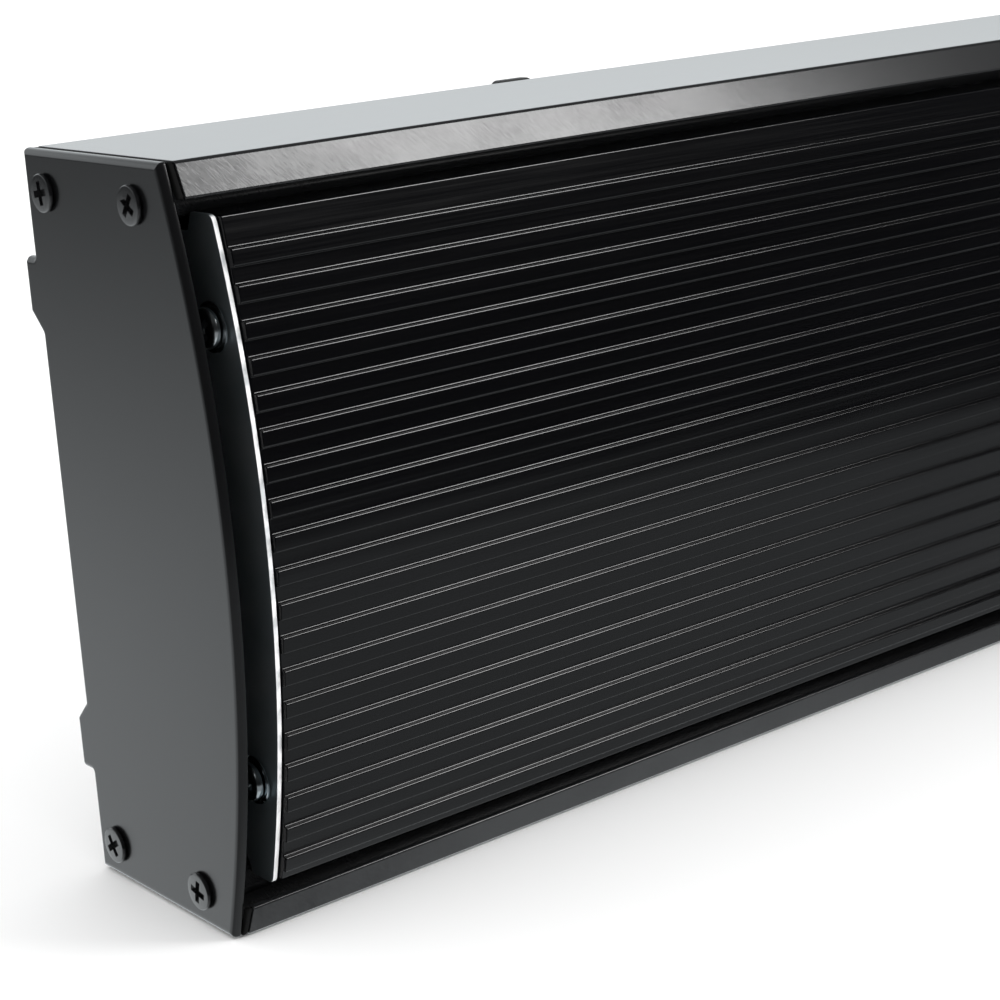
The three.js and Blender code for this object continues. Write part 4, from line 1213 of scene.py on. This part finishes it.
def make_bracket_fasteners(side):
    """The T-bolts and nuts that clamp a strap to the rails, and its pivot bolt and nut."""
    body = side + "_strap"
    strap_low, strap_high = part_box(side + "_rail_strap")
    centre = (strap_low.x + strap_high.x) / 2 / MM
    for level, up in LEVELS:
        z = MID_Z + up * SLOT_Z
        bolt = f"{side}_rail_bolt_{level}"
        low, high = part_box(bolt)
        start = low.y / MM - FRONT_Y
        bm = bmesh.new()
        shank = (high.y - low.y) / MM - RAIL_BOLT_HEAD
        hexagon(bm, "+Y", (centre, start, z), RAIL_BOLT_ACROSS_FLATS, 0, RAIL_BOLT_HEAD + OVERLAP)
        under = (centre, start + RAIL_BOLT_HEAD, z)
        threaded_bar(bm, "+Y", under, RAIL_BOLT_RADIUS, shank, RAIL_BOLT_PITCH, 2)
        stand_for(finished(bolt + "_turned", bm, screw_zinc, 40), body, bolt)
        nut = f"{side}_rail_nut_{level}"
        sizes = (RAIL_BOLT_ACROSS_FLATS, RAIL_NUT_BORE)
        make_nut(nut, nut + "_turned", "Y", *sizes, screw_zinc, "zinc_screw", body, 30)
    bolt = side + "_pivot_bolt"
    low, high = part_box(bolt)
    under = high.x / MM - PIVOT_HEAD
    bm = bmesh.new()
    hexagon(bm, "+X", (under, PIVOT_Y, MID_Z), PIVOT_ACROSS_FLATS, 0, PIVOT_HEAD, (False, True))
    root = (under + OVERLAP, PIVOT_Y, MID_Z)
    length = under + OVERLAP - low.x / MM
    threaded_bar(bm, "-X", root, PIVOT_RADIUS, length, PIVOT_PITCH, PIVOT_PLAIN_LENGTH)
    stand_for(finished(bolt + "_turned", bm, screw_zinc, 40), body, bolt)
    nut = side + "_pivot_nut"
    sizes = (PIVOT_ACROSS_FLATS, PIVOT_NUT_BORE)
    make_nut(nut, nut + "_turned", "X", *sizes, screw_zinc, "zinc_screw", body, 30)


# ---------------------------------------------------------------- gland and inner parts


def make_gland():
    """The cable gland's body, fluted dome nut and lock nut, the first two turned from (radius, distance)
    sections."""
    low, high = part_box("cable_gland_body")
    x = (low.x + high.x) / 2 / MM
    start = low.y / MM - FRONT_Y
    bm = bmesh.new()
    section = [(4.4, 0), (7.6, 0), (7.9, 0.4), (7.9, 14.4), (8.2, 19.2), (8.2, 24.7), (7.9, 25), (4.4, 25)]
    turned(bm, section, "+Y", (x, start, MID_Z))
    flange = (x, start + GLAND_FLANGE_START, MID_Z)
    hexagon(bm, "+Y", flange, GLAND_FLANGE_ACROSS_FLATS, GLAND_FLANGE_BORE, GLAND_FLANGE_LENGTH)
    gland_body = finished("gland_body", bm, plastic_finish)
    stand_for(gland_body, "heater", "cable_gland_body")
    low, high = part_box("cable_gland_dome_nut")
    start = low.y / MM - FRONT_Y
    section = [(8.5, 0), (10.5, 0), (10.9, 0.4), (10.9, 7)]
    dome = range(1, 5)
    section += [(10.9 - 1.7 * k / 4, 7 + 4 * math.sin(math.radians(22.5 * k))) for k in dome]
    section += [(6.6, 13), (6.2, 13.2), (5.2, 13.2), (4.9, 12.9), (4.9, 9), (8.5, 7)]
    bm = bmesh.new()
    turned(bm, section, "+Y", (x, start, MID_Z), 96, (12, 0.7))
    dome_nut = finished("gland_dome_nut", bm, plastic_finish)
    stand_for(dome_nut, "heater", "cable_gland_dome_nut")
    sizes = (LOCK_NUT_ACROSS_FLATS, LOCK_NUT_BORE)
    node = "cable_gland_lock_nut"
    make_nut(node, "gland_lock_nut", "Y", *sizes, plastic_finish, "black_plastic", "heater")


def dress_inner_parts():
    """The pieces hidden inside keep their CAD shapes with real finishes, and four of them get softened
    edges.
    """
    dressed = {
        "reflector_tray": tray_finish,
        "insulation_board": board_finish,
        "heating_element_lower": sheath_finish,
        "heating_element_upper": sheath_finish,
        "cable_gland_seal": rubber_finish,
        "terminal_block": ceramic_finish,
        "thermal_cutout": plastic_finish,
        "earth_stud": brass_finish,
        "earth_nut": brass_finish,
        **wire_finishes,
    }
    for node, material in dressed.items():
        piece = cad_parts[node]
        piece.data.materials.clear()
        piece.data.materials.append(material)
        if node in ("reflector_tray", "insulation_board", "terminal_block", "earth_nut"):
            soften = piece.modifiers.new("soften", "BEVEL")
            soften.width = 0.0003
            soften.segments = 2
            soften.limit_method = "ANGLE"
            soften.angle_limit = math.radians(40)


# ---------------------------------------------------------------- the whole

make_camera()
make_housing()
make_panel()
make_fasteners()
for side, sign in ENDS:
    make_end_cap(side, sign)
    make_end_gasket(side, sign)
    make_panel_bracket(side, sign)
    make_strap(side)
    make_wall_plate(side)
    make_bracket_fasteners(side)
make_gland()
dress_inner_parts()
make_floor()
make_studio()
make_softbox()
bpy.context.scene.view_settings.view_transform = "Standard"
